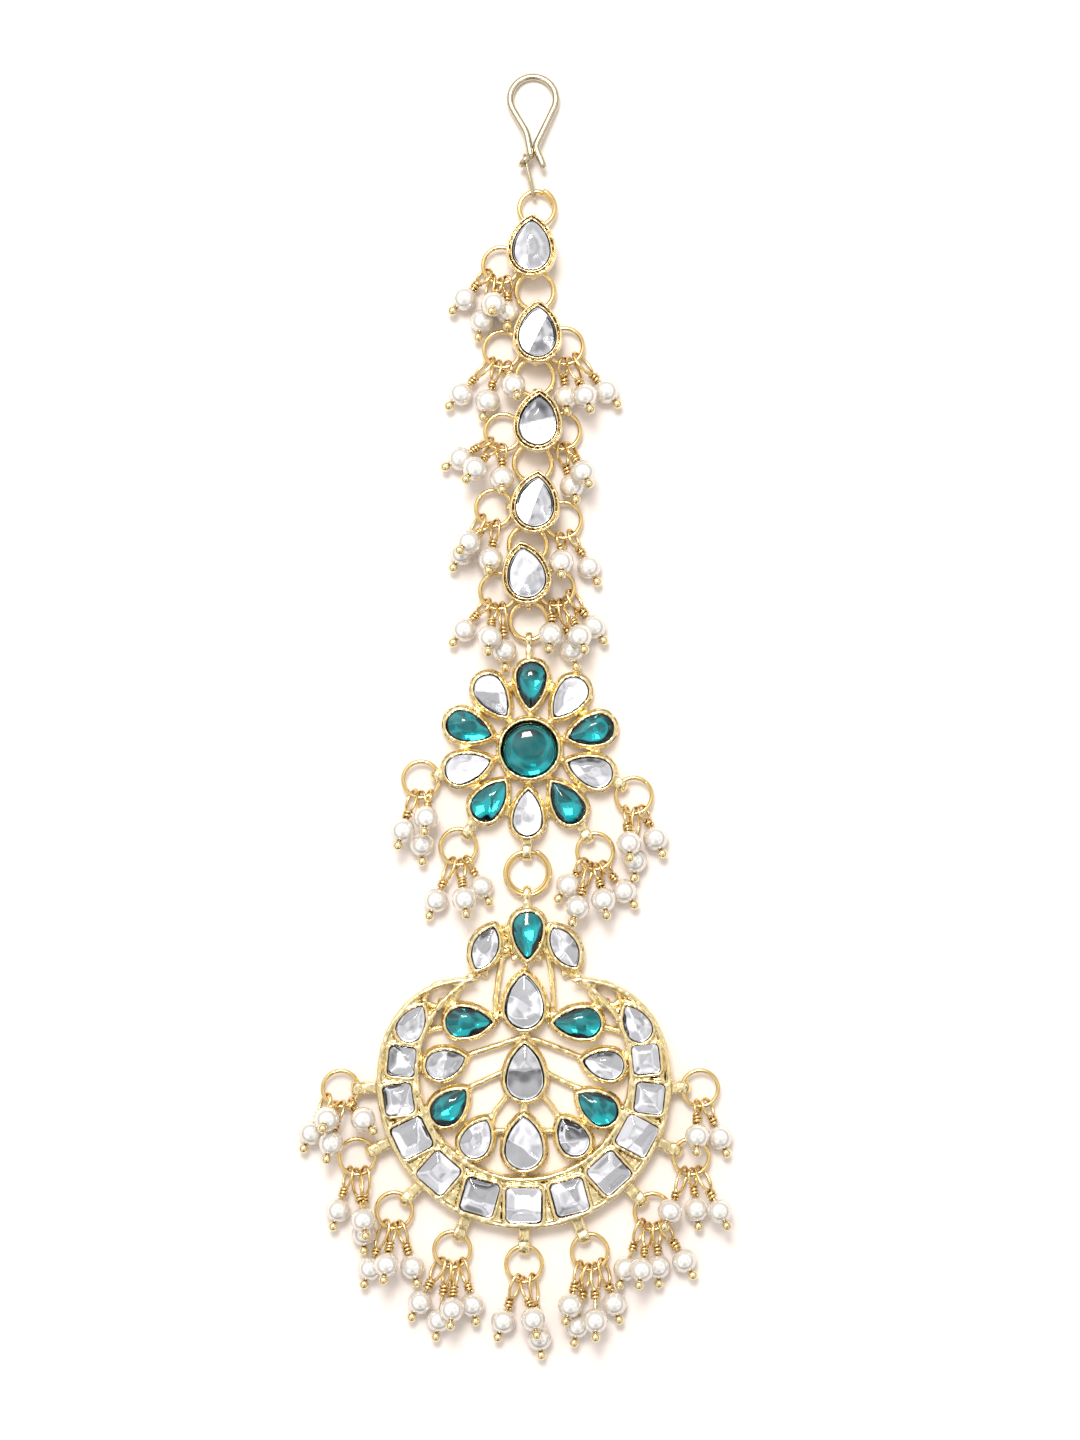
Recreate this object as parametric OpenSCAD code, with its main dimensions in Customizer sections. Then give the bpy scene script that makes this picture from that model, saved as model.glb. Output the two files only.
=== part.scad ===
// Maang tikka, a hair jewel of South Asia, lying face up.
// Units are millimetres, +Z is toward the viewer, +Y is toward the hair hook.
// The chain of foil backed links carries a flower, and the flower carries a round pendant.
// Jump rings on every link, on the flower and round the pendant carry bunches of pearls.

/* [Whole jewel] */
// Sub-part to draw, or all of them
// Height above the table of the plane that the jump rings lie in
ring_z = 1.2; // [1.0:0.05:1.6]
// Gap left between a stone and its setting
stone_gap = 0.06; // [0.03:0.01:0.15]

/* [Hair hook] */
// Centre of the hook's round bend
hook_at = [1.89, 68.5];
// Radius of the round bend, to the middle of the wire
hook_bend_r = 2.55; // [2:0.05:3.5]
// Half thickness of the hook's wire
hook_wire_r = 0.36; // [0.2:0.02:0.5]
// Slope of the hook, whose eye rides up on the link that it holds
hook_tilt = 8.5; // [0:0.5:15]
// Radius of the hook's eye, to the middle of the wire
hook_eye_r = 0.75; // [0.6:0.05:1.2]

/* [Jump rings] */
// Radius of the chain's jump rings, to the middle of the wire
chain_ring_r = 2.1; // [1.6:0.05:2.6]
// Half thickness of that wire
chain_ring_wire_r = 0.3; // [0.2:0.02:0.45]
// Radius of the first ring below the hook
first_ring_r = 1.95; // [1.6:0.05:2.6]
// Radius of the heavy ring between flower and pendant
pendant_ring_r = 2.35; // [2:0.05:3]
// Half thickness of the heavy ring's wire
pendant_ring_wire_r = 0.42; // [0.3:0.02:0.5]
// Radius of the rings that carry pearls
drop_ring_r = 2.0; // [1.6:0.05:2.4]
// Half thickness of that wire
drop_ring_wire_r = 0.27; // [0.2:0.01:0.4]

/* [Pearl drops] */
// Radius of a pearl
pearl_r = 1.4; // [1:0.05:1.8]
// Radius of the hole drilled through a pearl
bore_r = 0.27; // [0.2:0.01:0.4]
// Half thickness of a pin's wire
pin_wire_r = 0.2; // [0.12:0.01:0.3]
// Radius of a pin's loop, to the middle of the wire
pin_loop_r = 0.72; // [0.6:0.02:0.9]
// Half thickness of the wrapped neck of a pin
neck_r = 0.4; // [0.3:0.02:0.6]
// Longest wrapped neck
neck_len = 1.0; // [0.4:0.05:1.6]
// Radius of the ball that ends a pin
ball_r = 0.46; // [0.3:0.02:0.6]

/* [Chain links] */
// Height of a link's closed back above the table
link_base_z = 1.8; // [1.6:0.05:2.4]
// Height of the rim round a link's stone
link_rim_z = 4.3; // [3.5:0.1:5]
// Half width of a link's stone
link_stone_w = 2.0; // [1.6:0.05:2.4]
// Length from the stone's widest line to its tip
link_stone_h = 3.4; // [3:0.05:4]
// Wall round a link's stone
link_wall = 0.78; // [0.5:0.02:1]

/* [Flower] */
// Centre of the flower
flower_at = [1.5, -3.83];
// Distance from the centre to the widest line of a petal's stone
petal_at_r = 8.05; // [7:0.05:9]
// Half width of a petal's stone
petal_w = 1.55; // [1.2:0.05:1.9]
// Length from a petal stone's widest line to its tip
petal_h = 3.45; // [3:0.05:4]
// Radius of the round stone in the middle
centre_stone_r = 3.05; // [2.5:0.05:3.5]
// Height of the petals' rims
petal_rim_z = 2.6; // [2:0.1:3.4]

/* [Pendant] */
// Centre of the pendant's round outline
pendant_at = [0.89, -40.72];
// Radius of the round outline
pendant_r = 16.4; // [15:0.1:18]
// Radius of the open middle
opening_r = 11.6; // [10.5:0.1:12.5]
// Radius of the rounded shoulders
shoulder_r = 9.8; // [8:0.1:11]
// Thickness of the cast plate
plate_z = 1.0; // [0.8:0.1:1.6]
// Height of the band's ground between its stones
band_z = 1.9; // [1.4:0.1:2.4]
// Height of the rims round the stones
rim_z = 2.5; // [2:0.1:3.2]
// Width of those rims
rim_w = 0.42; // [0.3:0.02:0.6]
// Width of the cast ribs that join the inner stones
rib_w = 0.7; // [0.4:0.05:0.9]

/* [Hidden] */
$fn = 32;
gold = [0.86, 0.71, 0.36];
clear_glass = [0.86, 0.88, 0.92];
teal_glass = [0.02, 0.62, 0.62];
pearl_white = [0.94, 0.93, 0.90];

// Links of the chain. Columns: x, y of the stone's widest line, turn of its tip.
LINKS = [
    [1.70, 51.17, -1],
    [2.37, 41.61, -1],
    [2.40, 31.83, -4],
    [2.08, 22.83, -6],
    [1.22, 15.00, 10]
];

// Rings of the chain. Columns: x, y of the centre, radius.
CHAIN_RINGS = [
    [2.28, 56.28, first_ring_r],
    [2.11, 47.06, chain_ring_r],
    [2.11, 37.50, chain_ring_r],
    [1.89, 27.94, chain_ring_r],
    [1.33, 18.83, chain_ring_r],
    [1.44, 10.39, chain_ring_r]
];
pendant_ring_at = [1.22, -17.61];

// Bunches on the chain. Columns: link that holds the ring, ring x, ring y, drops.
// Columns of a drop: place of its loop round the ring, pearl x, y from the ring's centre,
// pearl height, and the angle at which the pearl's end of the pin turns up, 0 for a straight pin.
CHAIN_DROPS = [
    [0, -1.67, 49.94, [
        [212, -4.1, -3.7, 1.4, 0],
        [239, -2.1, -6.2, 1.4, 0],
        [265, -0.8, -4.6, 3.9, 60],
        [291, 0.7, -5.3, 1.5, 35]]],
    [1, -1.56, 40.56, [
        [226, -4.6, -4.9, 1.4, 0],
        [255, -1.6, -5.7, 1.4, 0],
        [286, 1.3, -4.1, 3.2, 45]]],
    [1, 5.44, 40.94, [
        [264, 0.1, -5.7, 1.4, 30],
        [291, 2.2, -5.7, 3.6, 0],
        [318, 4.6, -5.0, 1.4, 0]]],
    [2, -1.44, 31.39, [
        [211, -4.8, -2.9, 1.4, 0],
        [238, -3.1, -4.2, 3.4, 0],
        [266, -0.1, -5.2, 2.7, 45]]],
    [2, 5.11, 31.50, [
        [268, 1.1, -6.1, 1.4, 30],
        [296, 2.3, -4.7, 3.7, 0]]],
    [3, -2.44, 22.94, [
        [222, -3.6, -5.0, 1.4, 0],
        [249, -2.8, -3.9, 4.0, 0],
        [276, -0.4, -5.7, 2.6, 45]]],
    [3, 5.22, 21.61, [
        [264, -0.2, -4.7, 3.0, 40],
        [300, 2.9, -5.2, 1.4, 0]]],
    [4, -2.00, 13.72, [
        [226, -3.8, -4.3, 1.4, 0],
        [255, -0.9, -5.2, 3.5, 0],
        [284, 0.7, -6.6, 1.4, 0]]],
    [4, 4.44, 14.06, [
        [262, -0.6, -5.2, 3.1, 0],
        [286, 1.8, -6.9, 1.4, 0],
        [310, 2.6, -5.4, 3.9, 0],
        [333, 4.2, -4.3, 1.4, 0]]]
];

// Bunches on the flower, from the flower's centre. Columns: petal that holds the ring, ring x, ring y, drops.
FLOWER_DROPS = [
    [3, -12.05, -3.4, [
        [244, -2.0, -5.6, 2.9, 0],
        [271, 0.1, -7.2, 1.4, 0],
        [296, 0.6, -4.2, 3.1, 0]]],
    [4, -7.9, -10.9, [
        [247, -2.5, -5.9, 1.4, 0],
        [276, 0.7, -5.7, 3.5, 0],
        [303, 2.5, -4.4, 1.4, 0]]],
    [7, 11.6, -5.2, [
        [247, -0.6, -5.2, 3.4, 0],
        [276, 0.1, -7.2, 1.4, 0],
        [301, 2.4, -4.7, 1.5, 0]]],
    [6, 7.3, -11.4, [
        [226, -3.0, -3.7, 1.4, 0],
        [252, -2.0, -6.1, 3.0, 0],
        [278, 0.9, -5.3, 3.0, 0],
        [304, 3.2, -4.4, 1.4, 0]]]
];

// Bunches round the pendant, from its centre. Columns: direction of the ring, distance of its centre, drops.
PENDANT_DROPS = [
    [182.5, 20.4, [
        [218, -3.3, -4.9, 1.4, 0],
        [245, -1.4, -3.1, 4.0, 60],
        [272, -1.0, -5.9, 2.9, 0],
        [304, 2.6, -3.2, 3.4, 30]]],
    [204.5, 20.4, [
        [244, -2.1, -5.9, 1.4, 0],
        [268, 0.8, -6.7, 3.9, 0],
        [297, 0.8, -8.5, 1.4, 0]]],
    [225, 20.4, [
        [240, -2.7, -6.4, 1.4, 0],
        [266, -0.8, -5.7, 3.6, 0],
        [292, 2.0, -6.2, 1.4, 0]]],
    [247, 20.4, [
        [230, -3.6, -5.8, 1.4, 0],
        [256, -1.5, -7.8, 1.4, 0],
        [282, 0.0, -6.3, 3.5, 0],
        [308, 2.2, -6.1, 1.4, 0]]],
    [270, 20.4, [
        [246, -2.3, -6.3, 1.4, 0],
        [271, 1.0, -5.8, 3.3, 0],
        [299, 1.7, -8.2, 1.4, 0]]],
    [291, 20.4, [
        [236, -2.2, -5.7, 2.7, 0],
        [262, -1.4, -8.2, 1.4, 0],
        [288, 0.6, -7.3, 3.4, 0],
        [314, 2.7, -5.7, 1.4, 0]]],
    [314.5, 20.4, [
        [230, -3.0, -6.3, 1.4, 0],
        [256, -1.3, -6.1, 3.9, 0],
        [282, 0.6, -6.1, 1.4, 0],
        [308, 3.5, -5.4, 1.4, 0]]],
    [335.5, 20.4, [
        [246, -2.4, -5.8, 3.1, 0],
        [274, 0.6, -5.8, 1.4, 0],
        [302, 3.1, -5.8, 2.9, 0]]],
    [357.5, 19.6, [
        [262, -0.4, -5.1, 2.9, 0],
        [292, 2.2, -5.4, 1.4, 0]]]
];

// Pear stones of the pendant. Columns: x, y of the middle, length, width, direction of the tip.
CROWN_DROP = [0.4, 16.2, 5.1, 3.2, 270];
CENTRE_PEARS = [
    [0.05, 8.9, 5.9, 4.1, 90],
    [0.10, 1.1, 6.1, 4.1, 90],
    [0.00, -6.8, 5.8, 4.1, 90]
];
TEAL_LEAVES = [
    [-6.1, 6.6, 5.0, 3.2, 0],
    [5.9, 6.5, 5.1, 3.2, 180],
    [-8.2, -2.7, 4.7, 3.2, 45],
    [8.1, -2.8, 4.8, 3.2, 146]
];
CLEAR_LEAVES = [
    [-8.7, 2.0, 4.3, 3.0, 17],
    [8.8, 1.9, 4.4, 3.0, 170],
    [-5.2, -6.3, 4.4, 3.1, 62],
    [5.3, -6.1, 4.4, 3.1, 122]
];
BAND_PEARS = [
    [-12.35, 6.5, 4.3, 2.8, 60],
    [12.4, 6.5, 4.3, 2.8, 120]
];
// Pointed ovals of the crown. Columns: x, y of the middle, length, width, direction of the axis.
CROWN_OVALS = [
    [-4.3, 14.8, 4.9, 2.6, 67],
    [4.5, 14.9, 4.9, 2.6, 121]
];
// Square stones of the band. Columns: direction from straight down, distance, width, depth, turn.
BAND_SQUARES = [
    [0, 13.7, 3.9, 3.8, 0],
    [-21, 13.75, 3.7, 3.7, -16],
    [21.5, 13.8, 3.7, 3.7, 15],
    [-43, 13.85, 3.7, 3.7, -41],
    [43, 13.85, 3.7, 3.7, 42],
    [-63.5, 13.9, 3.7, 3.7, -64],
    [64.5, 13.9, 3.7, 3.7, 62],
    [-82, 14.05, 3.3, 3.1, -82],
    [82.5, 14.05, 3.3, 3.1, 84],
    [-99.5, 13.75, 3.2, 2.9, -96],
    [100.5, 13.75, 3.2, 2.9, 96]
];
// Ribs inside the pendant. Columns: the points that each rib runs through.
RIBS = [
    [[-2.3, 14.3], [-2.8, 11.8], [-3.2, 9.0], [-3.0, 7.0]],
    [[2.6, 14.3], [3.1, 11.8], [3.3, 9.0], [3.1, 7.0]],
    [[0, 4.9], [-2.7, 4.0], [-6.4, 2.8]],
    [[0.1, 4.9], [2.9, 4.0], [6.5, 2.5]],
    [[-1.8, 1.2], [-4.0, 0.2], [-6.2, -0.8]],
    [[2.0, 1.2], [4.2, 0.0], [6.2, -0.9]],
    [[-1.7, -1.4], [-3.2, -3.4], [-3.7, -4.4]],
    [[1.9, -1.4], [3.4, -3.2], [3.9, -4.2]],
    [[-3.6, -5.6], [-1.8, -5.6]],
    [[3.6, -5.6], [1.8, -5.6]],
    [[-7.8, 7.6], [-9.2, 8.8]],
    [[7.8, 7.6], [9.2, 8.8]],
    [[-8.0, 6.2], [-10.6, 5.6]],
    [[8.0, 6.2], [10.6, 5.6]],
    [[-10.2, 1.6], [-12, 1.2]],
    [[10.4, 1.6], [12, 1.4]],
    [[-9.6, -4.0], [-10.8, -5.0]],
    [[9.6, -4.0], [10.8, -5.0]],
    [[-6.0, -8.0], [-7.0, -9.4]],
    [[6.0, -8.0], [7.0, -9.4]],
    [[0, 6.2], [0, 3.8]],
    [[0, -1.8], [0, -4.2]],
    [[0, -9.2], [0, -11.2]]
];
// Arms from the crown to the shoulders. Columns: the points that each arm runs through.
ARMS = [
    [[-3.2, 13.9], [-5.3, 12.0], [-7.4, 10.3], [-8.2, 8.9]],
    [[3.4, 13.9], [5.5, 12.0], [7.5, 10.3], [8.3, 8.9]]
];

function unit(v) = v / norm(v);
function dir2(a) = [cos(a), sin(a)];
function polar(r, a) = [r * cos(a), r * sin(a)];
// Radius of the arcs that make a pear or a pointed oval of half width w and tip height h
function arc_r(w, h) = (h * h + w * w) / (2 * w);
function tip_h(w, h, d) = sqrt(pow(arc_r(w, h) + d, 2) - pow(arc_r(w, h) - w, 2));
// Half width of the pointed half at height y
function half_w(w, h, y) = sqrt(pow(arc_r(w, h), 2) - y * y) - (arc_r(w, h) - w);

// Plain shapes

module torus(r, wire) {
    rotate_extrude() translate([r, 0]) circle(wire);
}

module on_axis(p, d) {
    translate(p) rotate([0, acos(d[2]), atan2(d[1], d[0])]) children();
}

// The pointed half of a pear, cut off at its widest line
module pear_top(w, h, d) {
    r = arc_r(w, h);
    intersection() {
        translate([r - w, 0]) circle(r + d);
        translate([w - r, 0]) circle(r + d);
        translate([-2 * w - d, 0]) square([4 * w + 2 * d, h + 4]);
    }
}

// Pear outline, grown by d, with its widest line on the X axis and its tip toward +Y
module pear2(w, h, d = 0) {
    pear_top(w, h, d);
    intersection() {
        circle(w + d);
        translate([-2 * w - d, -2 * w - d]) square([4 * w + 2 * d, 2 * w + d]);
    }
}

// Pointed oval outline, grown by d, with its long axis along Y
module oval2(w, h, d = 0) {
    r = arc_r(w, h);
    intersection() {
        translate([r - w, 0]) circle(r + d);
        translate([w - r, 0]) circle(r + d);
    }
}

// Square outline with small round corners, grown by d
module cushion2(a, b, d = 0) {
    c = 0.35;
    square([a + 2 * d, b - 2 * c], center = true);
    square([a - 2 * c, b + 2 * d], center = true);
    for (x = [-1, 1], y = [-1, 1])
        translate([x * (a / 2 - c), y * (b / 2 - c)]) circle(c + d);
}

// Straight bar of width w, with round ends that are a hair wider than the bar
module bar2(p, q, w) {
    l = norm(q - p);
    translate(p) rotate(atan2(q[1] - p[1], q[0] - p[0])) translate([0, -w / 2]) square([l, w]);
    translate(p) circle(w / 2 + 0.02);
    translate(q) circle(w / 2 + 0.02);
}

module path2(points, w) {
    for (i = [0:len(points) - 2]) bar2(points[i], points[i + 1], w);
}

// Places a pear from a table row so that the row's x and y are its middle
module place_pear(row) {
    w = row[3] / 2;
    h = row[2] - w;
    translate([row[0], row[1]]) rotate(row[4] - 90) translate([0, -(h - w) / 2]) children();
}

module place_square(row) {
    translate(polar(row[1], row[0] - 90)) rotate(row[4]) children();
}

// Cut stones: a flat back, an upright girdle, sloping facets and a table

function pear_points(w, h) = concat(
    [for (a = [180:30:360]) polar(w, a)],
    [for (y = [0.36, 0.72]) [half_w(w, h, y * h), y * h]],
    [[0, h]],
    [for (y = [0.72, 0.36]) [-half_w(w, h, y * h), y * h]]
);

function oval_points(w, h) = concat(
    [for (y = [-0.7, -0.35, 0, 0.35, 0.7]) [half_w(w, h, y * h), y * h]],
    [[0, h]],
    [for (y = [0.7, 0.35, 0, -0.35, -0.7]) [-half_w(w, h, y * h), y * h]],
    [[0, -h]]
);

function square_points(a, b) = [
    [-a / 2 + 0.35, -b / 2], [a / 2 - 0.35, -b / 2], [a / 2, -b / 2 + 0.35], [a / 2, b / 2 - 0.35],
    [a / 2 - 0.35, b / 2], [-a / 2 + 0.35, b / 2], [-a / 2, b / 2 - 0.35], [-a / 2, -b / 2 + 0.35]
];

module cut_stone(points, middle, z0, girdle, z1, table) {
    n = len(points);
    small = [for (p = points) middle + table * (p - middle)];
    rings = concat(
        [for (p = points) [p[0], p[1], z0]],
        [for (p = points) [p[0], p[1], girdle]],
        [for (p = small) [p[0], p[1], z1]]
    );
    sides = [for (k = [0, 1], i = [0:n - 1])
        [k * n + i, k * n + n + i, k * n + n + (i + 1) % n, k * n + (i + 1) % n]];
    polyhedron(rings, concat(
        [[for (i = [0:n - 1]) i]],
        sides,
        [[for (i = [n - 1:-1:0]) 2 * n + i]]
    ));
}

module pear_stone(w, h, z0, girdle, z1) {
    cut_stone(pear_points(w, h), [0, (h - w) / 2.6], z0, girdle, z1, 0.56);
}

// Upright eye: a flat loop round a hole, seen edge on from above.
// It stands at p, its plane runs in the direction a, and it reaches back by the given length.
module eye(p, a, hole, rim, thick, back, low) {
    translate([p[0], p[1], ring_z]) rotate([0, 0, a]) rotate([90, 0, 0])
        translate([0, 0, -thick / 2]) linear_extrude(thick) difference() {
            union() {
                circle(hole + rim);
                translate([-back, low]) square([back, hole + rim - low]);
            }
            circle(hole);
        }
}

// Point of a ring that lies nearest to q
function ring_point(c, r, q) = [c[0], c[1]] + r * unit([q[0] - c[0], q[1] - c[1]]);
function heading(p, q) = atan2(q[1] - p[1], q[0] - p[0]);

// Hair hook

module hook_bow() {
    r = hook_bend_r;
    rotate([0, 0, -25]) rotate_extrude(angle = 235) translate([r, 0]) circle(hook_wire_r);
}

// Bent wire that starts at the origin along +Y. Columns of a row: length, or radius and turn.
module bent_wire(rows, wire, i = 0) {
    sphere(wire * 1.06);
    if (i < len(rows)) {
        s = rows[i];
        if (len(s) == 1) {
            rotate([-90, 0, 0]) cylinder(r = wire, h = s[0]);
            translate([0, s[0], 0]) bent_wire(rows, wire, i + 1);
        } else {
            side = s[1] > 0 ? 1 : -1;
            translate([-side * s[0], 0, 0]) {
                rotate([0, 0, side > 0 ? 0 : 180 + s[1]])
                    rotate_extrude(angle = abs(s[1])) translate([s[0], 0]) circle(wire);
                rotate([0, 0, s[1]]) translate([side * s[0], 0, 0]) bent_wire(rows, wire, i + 1);
            }
        }
    }
}

hook_eye_at = [-0.811, -7.095];
module hair_hook() {
    color(gold) translate([hook_at[0], hook_at[1], hook_wire_r + 0.02 + hook_bend_r * sin(hook_tilt)])
        rotate([-hook_tilt, 0, 0]) {
            hook_bow();
            translate(concat(polar(hook_bend_r, 210), 0)) rotate([0, 0, 210])
                bent_wire([[2.4], [3.2, -20], [2.25]], hook_wire_r);
            translate(concat(polar(hook_bend_r, -25), 0)) rotate([0, 0, 155])
                bent_wire([[4.3], [1.3, 47], [1.7]], hook_wire_r);
            translate([hook_eye_at[0], hook_eye_at[1], 0]) rotate([0, 0, 40]) rotate([90, 0, 0])
                torus(hook_eye_r, hook_wire_r - 0.08);
        }
}

// Long link that stands upright through the hook's eye and the first ring
link_wire_r = 0.22;
link_bend_r = 0.76;
module hook_link() {
    x0 = link_bend_r + link_wire_r;
    x1 = 4.3;
    color(gold) translate([2.08, 57.25, 1.09]) rotate([0, 0, 103.3]) rotate([90, 0, 0]) {
        translate([x1, 0, 0]) rotate([0, 0, -90])
            rotate_extrude(angle = 180) translate([link_bend_r, 0]) circle(link_wire_r);
        translate([x0, 0, 0]) rotate([0, 0, 90])
            rotate_extrude(angle = 180) translate([link_bend_r, 0]) circle(link_wire_r);
        for (s = [-1, 1])
            translate([x0, s * link_bend_r, 0]) rotate([0, 90, 0]) cylinder(r = link_wire_r, h = x1 - x0);
    }
}

// Rings

module chain_ring(i) {
    r = CHAIN_RINGS[i];
    color(gold) translate([r[0], r[1], ring_z]) torus(r[2], chain_ring_wire_r);
}

module pendant_ring() {
    color(gold) translate([pendant_ring_at[0], pendant_ring_at[1], ring_z])
        torus(pendant_ring_r, pendant_ring_wire_r);
}

// Links

link_eye_hole = 0.5;
link_eye_rim = 0.4;
module link_eye(ring, i) {
    link = [LINKS[i][0], LINKS[i][1] + 0.6];
    p = ring_point(ring, ring[2], link);
    eye(p, heading(link, p), link_eye_hole, link_eye_rim, 0.7, 1.1, 0.55);
}

module link_setting(i) {
    row = LINKS[i];
    w = link_stone_w;
    h = link_stone_h;
    seat = link_base_z + 0.9;
    color(gold) {
        translate([row[0], row[1], 0]) rotate([0, 0, row[2]]) {
            translate([0, 0, link_base_z]) linear_extrude(0.9) pear2(w, h, link_wall - 0.2);
            translate([0, 0, seat - 0.1]) linear_extrude(link_rim_z - seat + 0.1) difference() {
                pear2(w, h, link_wall);
                pear2(w, h, stone_gap);
            }
        }
        link_eye(CHAIN_RINGS[i], i);
        link_eye(CHAIN_RINGS[i + 1], i);
        for (c = CHAIN_DROPS) if (c[0] == i) link_eye([c[1], c[2], drop_ring_r], i);
    }
}

module link_stone(i) {
    row = LINKS[i];
    color(clear_glass) translate([row[0], row[1], 0]) rotate([0, 0, row[2]])
        pear_stone(link_stone_w, link_stone_h, link_base_z + 0.93, link_rim_z - 0.35, link_rim_z + 0.45);
}

// Pearl drops

function wire_point(row) = concat(polar(drop_ring_r, row[0]), 0);
function pearl_point(row) = [row[1], row[2], row[3] - ring_z];
function loop_point(row) = wire_point(row) + 0.05 * unit(pearl_point(row) - wire_point(row));
function lift_axis(row) = let (v = pearl_point(row) - loop_point(row), g = unit([v[0], v[1], 0]))
    [g[0] * cos(row[4]), g[1] * cos(row[4]), sin(row[4])];
function drop_axis(row) = row[4] == 0 ? unit(pearl_point(row) - loop_point(row)) : lift_axis(row);

module pin_profile(s0, n0, n1, s1) {
    translate([0, s0]) square([pin_wire_r, s1 - s0]);
    translate([0, n0]) square([neck_r, n1 - n0]);
    translate([0, s1]) intersection() {
        circle(ball_r);
        translate([0, -ball_r]) square([ball_r, 2 * ball_r]);
    }
}

// Ball whose poles lie on axis n and whose seam faces w, both clear of the wires that enter it
module turned_ball(at, w, n, r) {
    v = cross(n, w);
    multmatrix([for (k = [0:2]) [w[k], v[k], n[k], at[k]]]) sphere(r);
}

module drop_pin(row) {
    p = pearl_point(row);
    c = loop_point(row);
    e = drop_axis(row);
    t = [-sin(row[0]), cos(row[0]), 0];
    tail = pearl_r + 0.06 + ball_r;
    if (row[4] == 0) {
        l = norm(p - c);
        m = unit(t - (t * e) * e);
        n0 = pin_loop_r + 0.1;
        on_axis(c, m) torus(pin_loop_r, pin_wire_r);
        on_axis(c, e) rotate_extrude()
            pin_profile(pin_loop_r, n0, min(n0 + neck_len, l - pearl_r - 0.06), l + tail);
    } else {
        b = p - (pearl_r + 0.4) * e;
        d = unit(b - c);
        m = unit(t - (t * d) * d);
        on_axis(c, m) torus(pin_loop_r, pin_wire_r);
        on_axis(c + pin_loop_r * d, d) cylinder(r = pin_wire_r - 0.03, h = norm(b - c) - pin_loop_r);
        on_axis(b, e) cylinder(r = pin_wire_r, h = pearl_r + 0.4 + tail);
        n = unit(cross(d, e));
        w = unit(d - e);
        turned_ball(b, w, n, neck_r);
        turned_ball(p + tail * e, w, n, ball_r);
    }
}

module drop_pearl(row) {
    on_axis(pearl_point(row), drop_axis(row)) rotate_extrude() difference() {
        circle(pearl_r);
        translate([-2 * pearl_r, -2 * pearl_r]) square([2 * pearl_r + bore_r, 4 * pearl_r]);
    }
}

module bunch(at, rows, kind) {
    translate([at[0], at[1], ring_z]) {
        if (kind == "rings") color(gold) torus(drop_ring_r, drop_ring_wire_r);
        for (row = rows) {
            if (kind == "pins") color(gold) drop_pin(row);
            if (kind == "pearls") color(pearl_white) drop_pearl(row);
        }
    }
}

module chain_drops(kind) {
    for (c = CHAIN_DROPS) bunch([c[1], c[2]], c[3], kind);
}

module flower_drops(kind) {
    translate([flower_at[0], flower_at[1], 0])
        for (c = FLOWER_DROPS) bunch([c[1], c[2]], c[3], kind);
}

module pendant_drops(kind) {
    translate([pendant_at[0], pendant_at[1], 0])
        for (c = PENDANT_DROPS) bunch(polar(c[1], c[0]), c[2], kind);
}

// Flower

flower_plate_z = 1.0;
function petal_turn(i) = 90 + 36 * i - 1.5;

// Back of the flower: the middle's disc, the petals, and the webs that join them
module flower_plate2() {
    circle(centre_stone_r + 0.48);
    for (i = [0:9]) {
        a = petal_turn(i);
        rotate(a + 90) translate([0, -petal_at_r]) pear2(petal_w, petal_h, 0.45);
        bar2(polar(3.1, a), polar(4.5, a), 0.9);
        bar2(polar(7.3, a + 13), polar(7.3, a + 23), 1.3);
    }
}

module flower_frame() {
    color(gold) translate([flower_at[0], flower_at[1], 0]) {
        linear_extrude(flower_plate_z) flower_plate2();
        translate([0, 0, flower_plate_z - 0.1]) {
            for (i = [0:9]) linear_extrude(petal_rim_z - flower_plate_z + 0.1)
                rotate(petal_turn(i) + 90) translate([0, -petal_at_r]) difference() {
                    pear2(petal_w, petal_h, 0.45);
                    pear2(petal_w, petal_h, stone_gap);
                }
            linear_extrude(petal_rim_z - flower_plate_z + 0.3) difference() {
                circle(centre_stone_r + 0.48);
                circle(centre_stone_r + stone_gap);
            }
        }
        flower_eyes();
    }
}

module flower_eyes() {
    top = [CHAIN_RINGS[5][0] - flower_at[0], CHAIN_RINGS[5][1] - chain_ring_r - flower_at[1]];
    low = [pendant_ring_at[0] - flower_at[0], pendant_ring_at[1] + pendant_ring_r - flower_at[1]];
    eye(top, 90, 0.5, 0.42, 0.8, top[1] - 9.8, -0.6);
    eye(low, 270, 0.58, 0.45, 1.3, -9.8 - low[1], -0.9);
    for (c = FLOWER_DROPS) {
        q = polar(petal_at_r + petal_w + 0.2, petal_turn(c[0]));
        p = ring_point([c[1], c[2]], drop_ring_r, q);
        eye(p, heading(q, p), 0.5, 0.4, 0.8, norm(p - q) + 0.05, -0.7);
    }
}

module petal_stone(i) {
    color(i % 2 == 0 ? teal_glass : clear_glass) translate([flower_at[0], flower_at[1], 0])
        rotate(petal_turn(i) + 90) translate([0, -petal_at_r])
            pear_stone(petal_w, petal_h, flower_plate_z + 0.03, petal_rim_z - 0.3, petal_rim_z + 0.5);
}

module flower_centre_stone() {
    r = centre_stone_r;
    z = flower_plate_z + 0.03;
    dome = 6.2;
    lift = petal_rim_z + 1.0 - dome;
    color(teal_glass) translate([flower_at[0], flower_at[1], 0]) rotate_extrude() intersection() {
        translate([0, lift]) circle(dome);
        translate([0, z]) square([r, 4]);
    }
}

// Pendant

// Round outline below, with two smaller circles for the shoulders that lie a hair inside it
module pendant_outline(d = 0) {
    intersection() {
        circle(pendant_r + d);
        translate([-20, -20]) square([40, 24.25]);
    }
    for (a = [15, 165]) translate(polar(pendant_r - shoulder_r - 0.06, a)) circle(shoulder_r + d);
}

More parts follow.
